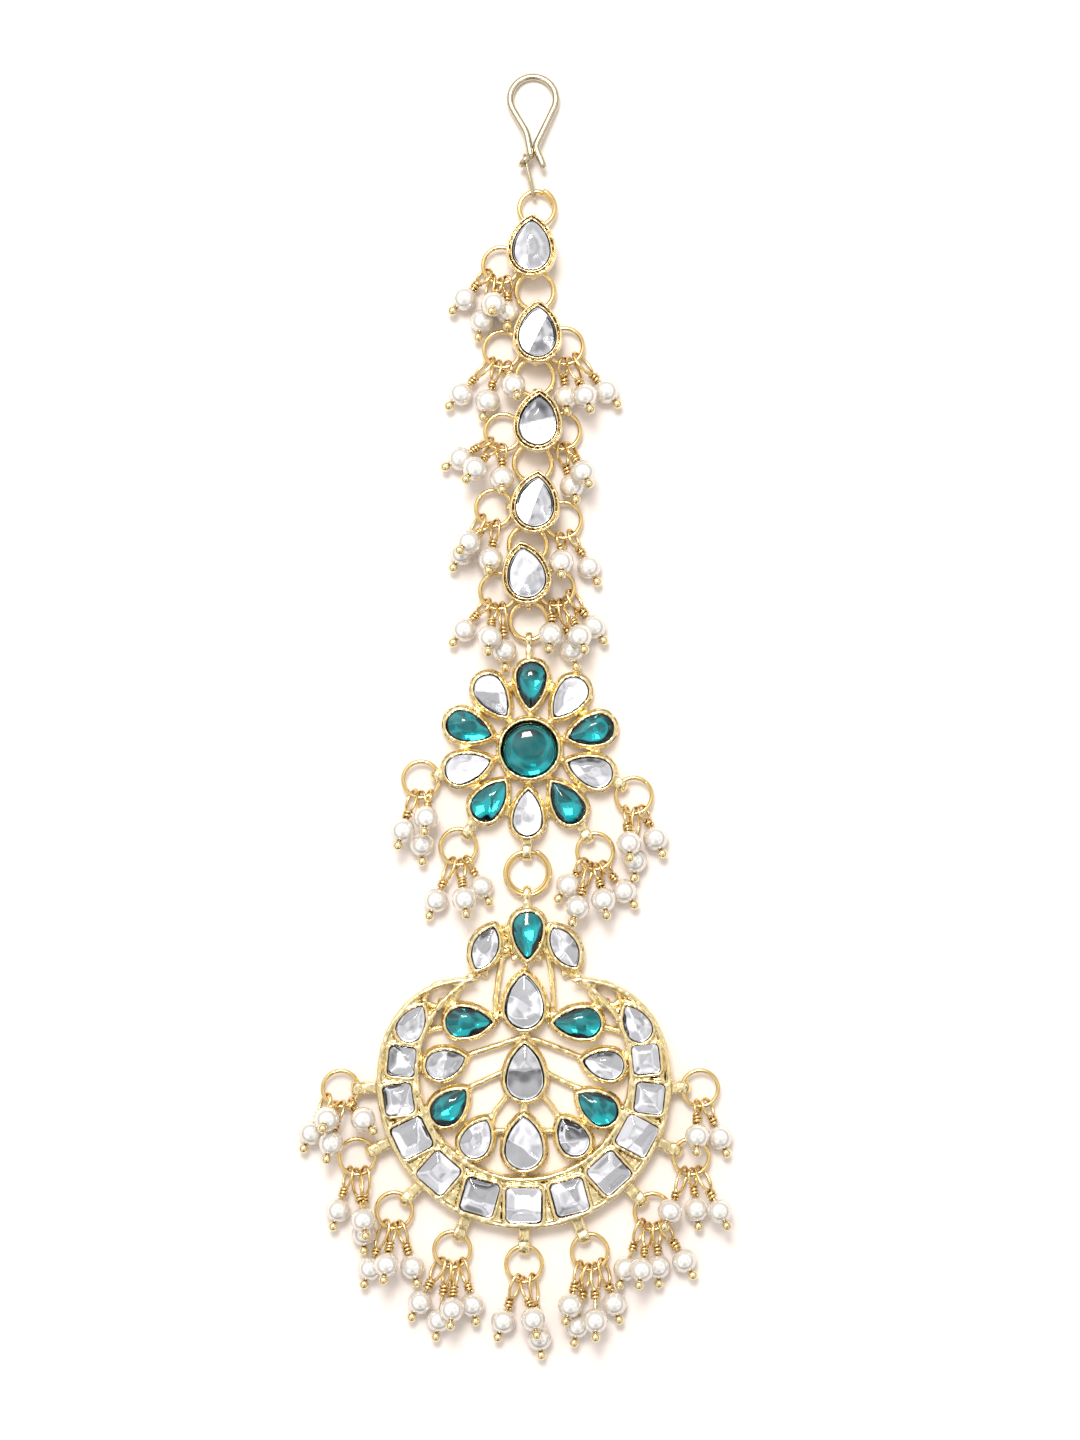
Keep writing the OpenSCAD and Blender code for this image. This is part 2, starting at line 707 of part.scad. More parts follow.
module pendant_opening(d = 0) {
    translate([0, 1]) circle(opening_r - d);
    polygon([[-7.3, 9.4], [-6.6, 10.5], [-4.9, 11.9], [-3.0, 13.4], [3.2, 13.4], [5.0, 11.9],
        [6.8, 10.5], [7.5, 9.4]]);
}

module leaf_holes() {
    translate([-9.1, 9.65]) rotate(112) oval2(0.75, 1.5);
    translate([8.9, 9.75]) rotate(68) oval2(0.65, 1.3);
}

// Outlines of every stone of the pendant, grown by d
module pendant_stones2(d) {
    for (row = concat([CROWN_DROP], CENTRE_PEARS, TEAL_LEAVES, CLEAR_LEAVES, BAND_PEARS))
        place_pear(row) pear2(row[3] / 2, row[2] - row[3] / 2, d);
    for (row = CROWN_OVALS)
        translate([row[0], row[1]]) rotate(row[4] - 90) oval2(row[3] / 2, row[2] / 2, d);
    for (row = BAND_SQUARES) place_square(row) cushion2(row[2], row[3], d);
}

module crown_fill() {
    polygon([[-3.2, 17.0], [-1.2, 17.8], [-0.8, 14.2], [-3.0, 13.2]]);
    polygon([[3.4, 17.0], [2.0, 17.8], [1.6, 14.2], [3.2, 13.2]]);
    path2([[-5.6, 12.9], [-4.4, 11.9]], 1.0);
    path2([[5.8, 12.9], [4.6, 11.9]], 1.0);
}

// Raised ground of the band, left open round its stones
module pendant_band2() {
    difference() {
        pendant_outline(-0.05);
        pendant_opening(-0.12);
        leaf_holes();
        pendant_stones2(0.2);
    }
}

module pendant_plate2() {
    difference() {
        pendant_outline();
        pendant_opening();
        leaf_holes();
    }
    pendant_stones2(rim_w);
    crown_fill();
    for (rib = RIBS) path2(rib, rib_w);
    for (arm = ARMS) path2(arm, 1.1);
    translate([0.05, 5.0]) circle(0.7);
    translate([0.0, -3.1]) circle(0.6);
}

module pendant_frame() {
    top = [pendant_ring_at[0] - pendant_at[0], pendant_ring_at[1] - pendant_ring_r - pendant_at[1]];
    color(gold) translate([pendant_at[0], pendant_at[1], 0]) {
        linear_extrude(plate_z) pendant_plate2();
        translate([0, 0, plate_z - 0.1]) {
            linear_extrude(rim_z - plate_z + 0.1) difference() {
                pendant_stones2(rim_w);
                pendant_stones2(stone_gap);
            }
            linear_extrude(band_z - plate_z + 0.1) pendant_band2();
            linear_extrude(band_z - plate_z + 0.35) difference() {
                pendant_outline();
                pendant_outline(-0.45);
                pendant_opening();
            }
        }
        eye(top, 90, 0.58, 0.4, 0.9, 1.8, -0.7);
        for (c = PENDANT_DROPS)
            eye(polar(c[1] - drop_ring_r, c[0]), c[0], 0.5, 0.42, 0.85, min(2.1, c[1] - 18.2), -0.75);
    }
}

module pendant_pear_stone(row, tint) {
    w = row[3] / 2;
    color(tint) translate([pendant_at[0], pendant_at[1], 0])
        place_pear(row) pear_stone(w, row[2] - w, plate_z + 0.03, rim_z - 0.3, rim_z + 0.5);
}

module crown_oval(row) {
    color(clear_glass) translate([pendant_at[0] + row[0], pendant_at[1] + row[1], 0]) rotate(row[4] - 90)
        cut_stone(oval_points(row[3] / 2, row[2] / 2), [0, 0], plate_z + 0.03, rim_z - 0.3, rim_z + 0.5, 0.5);
}

module band_stones() {
    for (row = BAND_PEARS) pendant_pear_stone(row, clear_glass);
    color(clear_glass) translate([pendant_at[0], pendant_at[1], 0])
        for (row = BAND_SQUARES) place_square(row)
            cut_stone(square_points(row[2], row[3]), [0, 0], plate_z + 0.03, rim_z - 0.3, rim_z + 0.5, 0.6);
}

hair_hook();
hook_link();
chain_ring(0);  // chain_ring_1
chain_ring(1);  // chain_ring_2
chain_ring(2);  // chain_ring_3
chain_ring(3);  // chain_ring_4
chain_ring(4);  // chain_ring_5
chain_ring(5);  // chain_ring_6
pendant_ring();
link_setting(0);  // link_setting_1
link_setting(1);  // link_setting_2
link_setting(2);  // link_setting_3
link_setting(3);  // link_setting_4
link_setting(4);  // link_setting_5
link_stone(0);  // link_stone_1
link_stone(1);  // link_stone_2
link_stone(2);  // link_stone_3
link_stone(3);  // link_stone_4
link_stone(4);  // link_stone_5
chain_drops("rings");  // chain_drop_rings
chain_drops("pins");  // chain_drop_pins
chain_drops("pearls");  // chain_pearls
flower_frame();
flower_centre_stone();
petal_stone(0);  // petal_stone_1
petal_stone(1);  // petal_stone_2
petal_stone(2);  // petal_stone_3
petal_stone(3);  // petal_stone_4
petal_stone(4);  // petal_stone_5
petal_stone(5);  // petal_stone_6
petal_stone(6);  // petal_stone_7
petal_stone(7);  // petal_stone_8
petal_stone(8);  // petal_stone_9
petal_stone(9);  // petal_stone_10
flower_drops("rings");  // flower_drop_rings
flower_drops("pins");  // flower_drop_pins
flower_drops("pearls");  // flower_pearls
pendant_frame();
pendant_pear_stone(CROWN_DROP, teal_glass);  // crown_drop_stone
crown_oval(CROWN_OVALS[0]);  // crown_oval_left
crown_oval(CROWN_OVALS[1]);  // crown_oval_right
pendant_pear_stone(CENTRE_PEARS[0], clear_glass);  // centre_pear_1
pendant_pear_stone(CENTRE_PEARS[1], clear_glass);  // centre_pear_2
pendant_pear_stone(CENTRE_PEARS[2], clear_glass);  // centre_pear_3
pendant_pear_stone(TEAL_LEAVES[0], teal_glass);  // teal_leaf_1
pendant_pear_stone(TEAL_LEAVES[1], teal_glass);  // teal_leaf_2
pendant_pear_stone(TEAL_LEAVES[2], teal_glass);  // teal_leaf_3
pendant_pear_stone(TEAL_LEAVES[3], teal_glass);  // teal_leaf_4
pendant_pear_stone(CLEAR_LEAVES[0], clear_glass);  // clear_leaf_1
pendant_pear_stone(CLEAR_LEAVES[1], clear_glass);  // clear_leaf_2
pendant_pear_stone(CLEAR_LEAVES[2], clear_glass);  // clear_leaf_3
pendant_pear_stone(CLEAR_LEAVES[3], clear_glass);  // clear_leaf_4
band_stones();
pendant_drops("rings");  // pendant_drop_rings
pendant_drops("pins");  // pendant_drop_pins
pendant_drops("pearls");  // pendant_pearls
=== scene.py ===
"""Looks of a maang tikka that lies face up on a white table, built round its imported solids.

Lengths in this file are millimetres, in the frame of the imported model: +X to the viewer's right, +Y toward
the hair hook, +Z up from the table. They become metres where a mesh or the camera is made. The lamp, the
table and the scales inside the shared effects are given in metres.
"""

import logging
import math
from dataclasses import dataclass, field
from enum import Enum
from functools import cache
from typing import Protocol

import bpy
import numpy as np
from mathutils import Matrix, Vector


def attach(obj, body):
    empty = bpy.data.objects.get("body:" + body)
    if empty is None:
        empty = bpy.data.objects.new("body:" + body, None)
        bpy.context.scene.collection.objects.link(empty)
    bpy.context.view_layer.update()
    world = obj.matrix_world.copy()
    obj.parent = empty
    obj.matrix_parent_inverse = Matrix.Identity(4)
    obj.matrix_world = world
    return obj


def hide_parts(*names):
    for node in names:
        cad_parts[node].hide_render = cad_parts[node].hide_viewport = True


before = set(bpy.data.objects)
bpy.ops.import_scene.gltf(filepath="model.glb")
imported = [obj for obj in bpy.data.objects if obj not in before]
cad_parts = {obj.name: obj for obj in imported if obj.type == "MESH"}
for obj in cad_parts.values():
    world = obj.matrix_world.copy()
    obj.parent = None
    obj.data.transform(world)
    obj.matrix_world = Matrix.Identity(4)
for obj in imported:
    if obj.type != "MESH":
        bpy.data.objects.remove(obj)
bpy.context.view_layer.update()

MM = 0.001
LOG = logging.getLogger("maang_tikka")
X, Y, Z = np.eye(3)

RING_Z = 1.2  # height of the middle of rings and eyes
TOP_Z = 6.12  # highest point of the jewel
LIFT = 0.01  # least room between a pin and the table
PEARL_R = 1.4
BORE_R = 0.27  # half width of a pearl's bore
DROP_RING_R = 2.0
DROP_WIRE_R = 0.25
PIN_WIRE_R = 0.165
PIN_LOOP_R = 0.74
PIN_BALL_R = 0.55


class Glass(Enum):
    """Kinds of cut glass in the jewel."""

    CLEAR = "clear_glass"
    TEAL = "teal_glass"


@dataclass(frozen=True)
class Drop:
    """One pearl on its pin.

    Args:
        loop: place of the pin's loop round its jump ring, in degrees.
        x: pearl's place from the ring's centre.
        y: pearl's place from the ring's centre.
        height: pearl's height above the table.
        lift: angle at which the pearl's end of the pin turns up, 0 for a straight pin.
    """

    loop: float
    x: float
    y: float
    height: float
    lift: float = 0.0


@dataclass(frozen=True)
class Bunch:
    """A jump ring and the pearls that hang on it.

    Args:
        x: centre of the ring.
        y: centre of the ring.
        drops: the pearls.
    """

    x: float
    y: float
    drops: tuple[Drop, ...]


def unit(v: np.ndarray) -> np.ndarray:
    """Vector of length one along v."""
    return v / np.linalg.norm(v)


def polar(r: float, degrees: float) -> np.ndarray:
    """Point at that radius and direction in the plane."""
    a = math.radians(degrees)
    return np.array([r * math.cos(a), r * math.sin(a)])


def turned(x: np.ndarray, y: np.ndarray, degrees: float) -> tuple[np.ndarray, np.ndarray]:
    """Coordinates seen from axes that are turned by that angle."""
    a = math.radians(degrees)
    return x * math.cos(a) + y * math.sin(a), y * math.cos(a) - x * math.sin(a)


def ripple(points: np.ndarray, size: float, seed: int) -> np.ndarray:
    """Smooth random waves in space.

    Args:
        points: places to read the waves at, one per row.
        size: length of a wave.
        seed: seed of the waves.

    Returns:
        One number per point, about -1 to 1.
    """
    rng, waves = np.random.default_rng(seed), 18
    total = np.zeros(len(points))
    for _ in range(waves):
        way = unit(rng.normal(size=3)) * 2 * math.pi / size * rng.uniform(0.7, 1.5)
        total += np.cos(points @ way + rng.uniform(0, 2 * math.pi))
    return total / math.sqrt(waves)


def right_angle(way: np.ndarray) -> np.ndarray:
    """Some unit vector at right angles to a unit vector."""
    seed = np.eye(3)[np.argmin(np.abs(way))]
    return unit(seed - way * (seed @ way))


def spokes(count: int) -> np.ndarray:
    """Unit vectors all the way round the plane, one per row, half a step off +X."""
    angles = 2 * math.pi * (np.arange(count) + 0.5) / count
    return np.column_stack([np.cos(angles), np.sin(angles)])


def put(name: str, data: bpy.types.ID) -> bpy.types.Object:
    """Adds an object to the scene.

    Args:
        name: its name.
        data: its mesh, lamp or camera.

    Returns:
        The object.
    """
    made = bpy.data.objects.new(name, data)
    bpy.context.scene.collection.objects.link(made)
    return made


def keep(node: str, mesh: bpy.types.Mesh) -> bpy.types.Object:
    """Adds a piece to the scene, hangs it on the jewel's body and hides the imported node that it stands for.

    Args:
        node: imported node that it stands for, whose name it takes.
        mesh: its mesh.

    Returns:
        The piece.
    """
    piece = put(node, mesh)
    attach(piece, "root")
    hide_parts(node)
    return piece


# Rounded end of a wire: how far past it each step lies and how thick it is, in half thicknesses of the wire
ROUND_END = ((1.0, 0.08), (0.87, 0.5), (0.5, 0.87))


class Shell:
    """Points and faces of one piece, gathered part by part."""

    def __init__(self) -> None:
        """Starts with nothing."""
        self.points: list[np.ndarray] = []
        self.faces: list[tuple[int, ...]] = []
        self.finishes: list[int] = []
        self.count = 0

    def add(self, points: np.ndarray, faces: list[tuple[int, ...]], finishes: list[int]) -> None:
        """Takes in one part.

        Args:
            points: its points.
            faces: its faces, as numbers of its own points.
            finishes: number of the material that each face shows.
        """
        n = self.count
        self.points.append(points)
        self.faces.extend(tuple(i + n for i in f) for f in faces)
        self.finishes.extend(finishes)
        self.count += len(points)

    def skin(self, rings: list[np.ndarray], closed: bool, shift: int = 0, finish: int = 0) -> None:
        """Joins rings of points into a tube, with flat ends where it is open.

        Args:
            rings: the rings, each with as many points as the next.
            closed: whether the last ring joins the first.
            shift: by how many points the first ring is turned where the last one joins it.
            finish: number of the tube's material.
        """
        n, sides = len(rings), len(rings[0])
        faces = []
        for i in range(n if closed else n - 1):
            j = (i + 1) % n
            turn = shift if j == 0 else 0
            for k in range(sides):
                m = (k + 1) % sides
                next_m, next_k = (m + turn) % sides, (k + turn) % sides
                faces.append((i * sides + k, i * sides + m, j * sides + next_m, j * sides + next_k))
        if not closed:
            faces.append(tuple(range(sides - 1, -1, -1)))
            faces.append(tuple((n - 1) * sides + k for k in range(sides)))
        self.add(np.vstack(rings), faces, [finish] * len(faces))

    def wire(self, path: np.ndarray, radius: float, sides: int, closed: bool = False) -> None:
        """Draws a round wire along a path, with rounded ends where it is open.

        Args:
            path: the middle of the wire, one point per row.
            radius: half thickness.
            sides: flats round the wire.
            closed: whether the last point joins the first.
        """
        r = np.full(len(path), radius, float)
        if not closed:
            first, last = unit(path[0] - path[1]), unit(path[-1] - path[-2])
            head = [path[0] + first * radius * past for past, _ in ROUND_END]
            tail = [path[-1] + last * radius * past for past, _ in ROUND_END[::-1]]
            path = np.vstack([head, path, tail])
            ends = [radius * share for _, share in ROUND_END]
            r = np.concatenate([ends, r, ends[::-1]])
        ways = np.roll(path, -1, 0) - np.roll(path, 1, 0)
        if not closed:
            ways[0], ways[-1] = path[1] - path[0], path[-1] - path[-2]
        ways /= np.linalg.norm(ways, axis=1)[:, None]
        across = right_angle(ways[0])
        angles = 2 * math.pi * np.arange(sides) / sides
        c, s = np.cos(angles), np.sin(angles)
        rings = []
        for middle, thick, way in zip(path, r, ways):
            across = unit(across - way * (across @ way))
            other = np.cross(way, across)
            rings.append(middle + thick * (np.outer(c, across) + np.outer(s, other)))
        shift = int(np.argmax((rings[0] - path[0]) @ (rings[-1][0] - path[-1]))) if closed else 0
        self.skin(rings, closed, shift)

    def lathe(
        self, at: np.ndarray, axis: np.ndarray, profile: np.ndarray, sides: int, closed: bool, finish: int = 0
    ) -> None:
        """Turns a profile round an axis.

        Args:
            at: a point of the axis, from which the profile's heights count.
            axis: direction of the axis.
            profile: rows of height along the axis and radius.
            sides: flats round the axis.
            closed: whether the profile's last row joins the first.
            finish: number of its material.
        """
        axis = unit(axis)
        u = right_angle(axis)
        angles = 2 * math.pi * np.arange(sides) / sides
        circle = np.outer(np.cos(angles), u) + np.outer(np.sin(angles), np.cross(axis, u))
        self.skin([at + axis * s + circle * r for s, r in profile], closed, finish=finish)

    def piece(self, name: str, finishes: list[bpy.types.Material], slot: str) -> bpy.types.Object:
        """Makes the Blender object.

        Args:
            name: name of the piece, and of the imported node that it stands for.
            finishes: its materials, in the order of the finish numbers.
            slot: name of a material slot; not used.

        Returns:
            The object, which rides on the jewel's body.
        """
        mesh = bpy.data.meshes.new(name)
        mesh.from_pydata((np.vstack(self.points) * MM).tolist(), [], self.faces)
        for finish in finishes:
            mesh.materials.append(finish)
        mesh.polygons.foreach_set("material_index", self.finishes)
        mesh.polygons.foreach_set("use_smooth", [True] * len(mesh.polygons))
        mesh.validate()
        mesh.update()
        return keep(name, mesh)


# Outlines: signed distances in the plane, negative inside

CUSHION_CORNER = 0.5


def oval_distance(x: np.ndarray, y: np.ndarray, w: float, h: float) -> np.ndarray:
    """Distance to a pointed oval of two arcs, of half width w and half length h along Y."""
    r = (h * h + w * w) / (2 * w)
    return np.hypot(np.abs(x) + r - w, y) - r


def pear_distance(x: np.ndarray, y: np.ndarray, w: float, h: float) -> np.ndarray:
    """Distance to a pear whose widest line is the X axis and whose tip is at height h."""
    return np.where(y > 0, oval_distance(x, y, w, h), np.hypot(x, y) - w)


def cushion_distance(x: np.ndarray, y: np.ndarray, a: float, b: float) -> np.ndarray:
    """Distance to a square with round corners, of sides a and b."""
    qx, qy = np.abs(x) - a / 2 + CUSHION_CORNER, np.abs(y) - b / 2 + CUSHION_CORNER
    return np.hypot(np.maximum(qx, 0), np.maximum(qy, 0)) + np.minimum(np.maximum(qx, qy), 0) - CUSHION_CORNER


def path_distance(x: np.ndarray, y: np.ndarray, points: list[tuple[float, float]]) -> np.ndarray:
    """Distance to a line of straight stretches.

    Args:
        x: places to measure from.
        y: places to measure from.
        points: the points that the line runs through.

    Returns:
        One distance for each place.
    """
    best = np.full(np.shape(x), np.inf)
    for (ax, ay), (bx, by) in zip(points[:-1], points[1:]):
        dx, dy = bx - ax, by - ay
        t = np.clip(((x - ax) * dx + (y - ay) * dy) / (dx * dx + dy * dy), 0, 1)
        best = np.minimum(best, np.hypot(x - ax - t * dx, y - ay - t * dy))
    return best


def polygon_distance(x: np.ndarray, y: np.ndarray, points: list[tuple[float, float]]) -> np.ndarray:
    """Signed distance to a polygon.

    Args:
        x: places to measure from.
        y: places to measure from.
        points: its corners.

    Returns:
        One distance for each place, negative inside.
    """
    ring = [*points, points[0]]
    inside = np.zeros(np.shape(x), bool)
    for (ax, ay), (bx, by) in zip(ring[:-1], ring[1:]):
        if ay != by:
            inside ^= ((ay > y) != (by > y)) & (x < (bx - ax) * (y - ay) / (by - ay) + ax)
    best = path_distance(x, y, ring)
    return np.where(inside, -best, best)


def nearest(fields: list[np.ndarray]) -> np.ndarray:
    """Smallest of several distances at every place."""
    return np.minimum.reduce(fields)


class Shape(Enum):
    """Outlines that a stone may have."""

    PEAR = "pear"
    OVAL = "pointed oval"
    CUSHION = "square with round corners"
    ROUND = "round"


@dataclass(frozen=True)
class Outline:
    """Outline of one stone.

    Args:
        x: place of the outline's own origin.
        y: place of the outline's own origin.
        turn: direction that its own +Y axis is turned by, in degrees.
        shape: its shape.
        a: half width, or the first side of a cushion, or the radius.
        b: tip height, or the second side of a cushion.
    """

    x: float
    y: float
    turn: float
    shape: Shape
    a: float
    b: float = 0.0

    def distance(self, x: np.ndarray, y: np.ndarray) -> np.ndarray:
        """Distance from the outline.

        Args:
            x: places to measure from.
            y: places to measure from.

        Returns:
            One distance for each place, negative inside.
        """
        u, v = turned(x - self.x, y - self.y, self.turn)
        if self.shape is Shape.ROUND:
            return np.hypot(u, v) - self.a
        measure = {Shape.PEAR: pear_distance, Shape.OVAL: oval_distance, Shape.CUSHION: cushion_distance}
        return measure[self.shape](u, v, self.a, self.b)

    def place(self, own: np.ndarray) -> tuple[np.ndarray, np.ndarray]:
        """Place in the jewel's frame of points given in the outline's own axes, one per row."""
        (u, v), a = own.T, math.radians(self.turn)
        return self.x + u * math.cos(a) - v * math.sin(a), self.y + u * math.sin(a) + v * math.cos(a)

    def middle(self) -> np.ndarray:
        """Middle of the stone's table in its own axes."""
        return np.array([0.0, (self.b - self.a) / 2.6 if self.shape is Shape.PEAR else 0.0])

    def loop(self, count: int) -> np.ndarray:
        """Points round the outline in its own axes, found by halving.

        Args:
            count: how many points.

        Returns:
            One point per row, counter-clockwise.
        """
        ways, farthest, halvings = spokes(count), 12.0, 40
        near, far = np.zeros(count), np.full(count, farthest)
        for _ in range(halvings):
            mid = (near + far) / 2
            inside = self.distance(*self.place(self.middle() + mid[:, None] * ways)) < 0
            near, far = np.where(inside, mid, near), np.where(inside, far, mid)
        return self.middle() + near[:, None] * ways


def pear_row(x: float, y: float, length: float, width: float, tip: float) -> Outline:
    """Outline of a pear.

    Args:
        x: its middle.
        y: its middle.
        length: its length.
        width: its width.
        tip: direction of its tip, in degrees.

    Returns:
        The outline.
    """
    w = width / 2
    h = length - w
    shift = polar((h - w) / 2, tip)
    return Outline(x - shift[0], y - shift[1], tip - 90, Shape.PEAR, w, h)


# Castings

NO_METAL = 9.0  # distance that an empty grid is filled with
FLOOR_Z = 0.005  # height below which castings have no metal
SOLDER = 0.02  # fillet of a joint that doesn't show
EYE_SOLDER = 0.15
GRAIN_SOLDER = 0.2


@dataclass(frozen=True)
class Eye:
    """Upright eye of a casting.

    Args:
        x: middle of its hole.
        y: middle of its hole.
        heading: direction that it points in.
        hole: radius of the hole.
        rim: width of the metal round it.
        thick: thickness across.
        back: how far its foot reaches back.
        low: underside of the foot, from the middle.
    """

    x: float
    y: float
    heading: float
    hole: float
    rim: float
    thick: float
    back: float
    low: float


def nearest_eye(
    ring: tuple[float, float, float], root: np.ndarray, sizes: tuple[float, ...], back: float
) -> Eye:
    """Eye that holds a ring at the ring's nearest point.

    Args:
        ring: x, y and radius of the ring.
        root: where the eye grows from.
        sizes: hole, rim, thickness and underside of the eye.
        back: how far its foot reaches back, or nought to reach the root.

    Returns:
        The eye.
    """
    centre = np.array(ring[:2])
    place = centre + ring[2] * unit(root - centre)
    way = place - root
    hole, rim, thick, low = sizes
    reach = back or float(np.linalg.norm(way)) + 0.05
    return Eye(place[0], place[1], math.degrees(math.atan2(way[1], way[0])), hole, rim, thick, reach, low)


class Casting:
    """A casting as signed distances on a grid, positive outside the metal."""

    def __init__(
        self, low: tuple[float, float, float], high: tuple[float, float, float], step: float
    ) -> None:
        """Lays out the grid.

        Args:
            low: lowest corner.
            high: highest corner.
            step: spacing of the grid.
        """
        self.low, self.step = np.array(low, float), step
        axes = [np.arange(a, b + step, step) for a, b in zip(low, high)]
        self.x, self.y = np.meshgrid(axes[0], axes[1], indexing="ij")
        self.z = axes[2]
        self.metal = np.full((*self.x.shape, len(self.z)), NO_METAL, np.float32)

    def fuse(self, other: np.ndarray, fillet: float, part: tuple[slice, ...] = ()) -> None:
        """Joins more metal on.

        Args:
            other: distances to it.
            fillet: size of the fillet of solder at the joint.
            part: stretch of the grid that the distances are for, or nothing for the whole grid.
        """
        old = self.metal[part]
        gap = np.maximum(fillet - np.abs(old - other), 0)
        self.metal[part] = np.minimum(old, other) - gap * gap / (4 * fillet)

    def slab(
        self, outline: np.ndarray, low: float, high: float, edge: float, fillet: float, taper: float = 0.0
    ) -> None:
        """Adds a plate or wall with rounded edges.

        Args:
            outline: its signed distances in the plane.
            low: height of its lower face.
            high: height of its upper face.
            edge: radius of its edges.
            fillet: size of the fillet of solder round it.
            taper: how much each millimetre of height draws it in.
        """
        a = outline[:, :, None] + edge + taper * (self.z - low)[None, None, :]
        b = (np.abs(self.z - (low + high) / 2) - (high - low) / 2 + edge)[None, None, :]
        metal = np.hypot(np.maximum(a, 0), np.maximum(b, 0)) + np.minimum(np.maximum(a, b), 0) - edge
        self.fuse(metal, fillet)

    def bead(self, line: np.ndarray, z: float, radius: float, fillet: float) -> None:
        """Adds a round rib along the places where the distances in line are nought."""
        self.fuse(np.hypot(line[:, :, None], (self.z - z)[None, None, :]) - radius, fillet)

    def cut(self, outline: np.ndarray, floor: float) -> None:
        """Takes away the metal inside an outline, down to the floor."""
        hole = np.maximum(outline[:, :, None], (floor - self.z)[None, None, :])
        self.metal = np.maximum(self.metal, -hole).astype(np.float32)

    def eye(self, eye: Eye) -> None:
        """Adds an upright eye, seen edge on from above: a flattened ring with a rounded block as its foot.

        Args:
            eye: its place and sizes.
        """
        at, hole, back = np.array([eye.x, eye.y]), eye.hole, eye.back
        pad = max(back, hole + eye.rim) + 0.5
        start = np.floor((at - pad - self.low[:2]) / self.step).astype(int).clip(0)
        end = np.ceil((at + pad - self.low[:2]) / self.step).astype(int)
        part = tuple(slice(a, b) for a, b in zip(start, end))
        u, v = turned(self.x[part] - at[0], self.y[part] - at[1], eye.heading)
        u, v, z = u[:, :, None], v[:, :, None], (self.z - RING_Z)[None, None, :]
        middle, tube = hole + eye.rim / 2 + 0.02, eye.rim / 2 - 0.02
        loop = np.hypot(np.hypot(u, z) - middle, v * 2 * tube / eye.thick) - tube
        top, soft = hole + eye.rim - 0.05, 0.2
        foot_u = np.abs(u + (back + hole + 0.1) / 2) - (back - hole - 0.1) / 2
        foot_z = np.abs(z - (top + eye.low) / 2) - (top - eye.low) / 2
        q = [foot_u + soft, np.abs(v) - eye.thick / 2 + 0.25, foot_z + soft]
        outer = np.sqrt(sum(np.maximum(w, 0) ** 2 for w in q))
        foot = outer + np.minimum(np.maximum(np.maximum(q[0], q[1]), q[2]), 0) - soft
        foot = np.maximum(foot, hole - np.hypot(u, z))
        for metal in (loop, foot):
            self.fuse(metal, EYE_SOLDER, part)

    def grain(self, at: tuple[float, float, float], radius: float) -> None:
        """Adds a small ball of metal.

        Args:
            at: its middle.
            radius: its radius.
        """
        reach = radius + 0.4
        low = ((np.array(at) - reach - self.low) / self.step).astype(int).clip(0)
        high = ((np.array(at) + reach - self.low) / self.step).astype(int) + 1
        part = tuple(slice(a, b) for a, b in zip(low, high))
        flat = part[:2]
        away = np.hypot(self.x[flat] - at[0], self.y[flat] - at[1])[:, :, None]
        self.fuse(np.hypot(away, (self.z[part[2]] - at[2])[None, None, :]) - radius, GRAIN_SOLDER, part)

    def net(self) -> tuple[np.ndarray, np.ndarray]:
        """Skin of the casting.

        Returns:
            Points, and faces of four points each.
        """
        inside = self.metal < 0
        cells, crossings, quads = [], [], []
        dims = np.array(self.metal.shape)
        stride = np.array([dims[1] * dims[2], dims[2], 1])
        for axis in range(3):
            low = [slice(None)] * 3
            high = [slice(None)] * 3
            low[axis], high[axis] = slice(None, -1), slice(1, None)
            at = np.argwhere(inside[tuple(low)] != inside[tuple(high)])
            one = np.eye(3, dtype=int)[axis]
            f0 = self.metal[tuple(at.T)].astype(float)
            f1 = self.metal[tuple((at + one).T)].astype(float)
            place = at + np.outer(f0 / (f0 - f1), one)
            u, v = np.eye(3, dtype=int)[(axis + 1) % 3], np.eye(3, dtype=int)[(axis + 2) % 3]
            around = [(at - shift) @ stride for shift in (0 * u, u, u + v, v)]
            quad = np.column_stack(around)
            quad[f0 > 0] = quad[f0 > 0][:, ::-1]
            quads.append(quad)
            cells.append(np.concatenate(around))
            crossings.append(np.tile(place, (4, 1)))
        cells, crossings = np.concatenate(cells), np.vstack(crossings)
        names, which = np.unique(cells, return_inverse=True)
        count = np.bincount(which)
        middle = np.column_stack([np.bincount(which, crossings[:, k]) / count for k in range(3)])
        faces = np.searchsorted(names, np.vstack(quads))
        return self.low + middle * self.step, faces

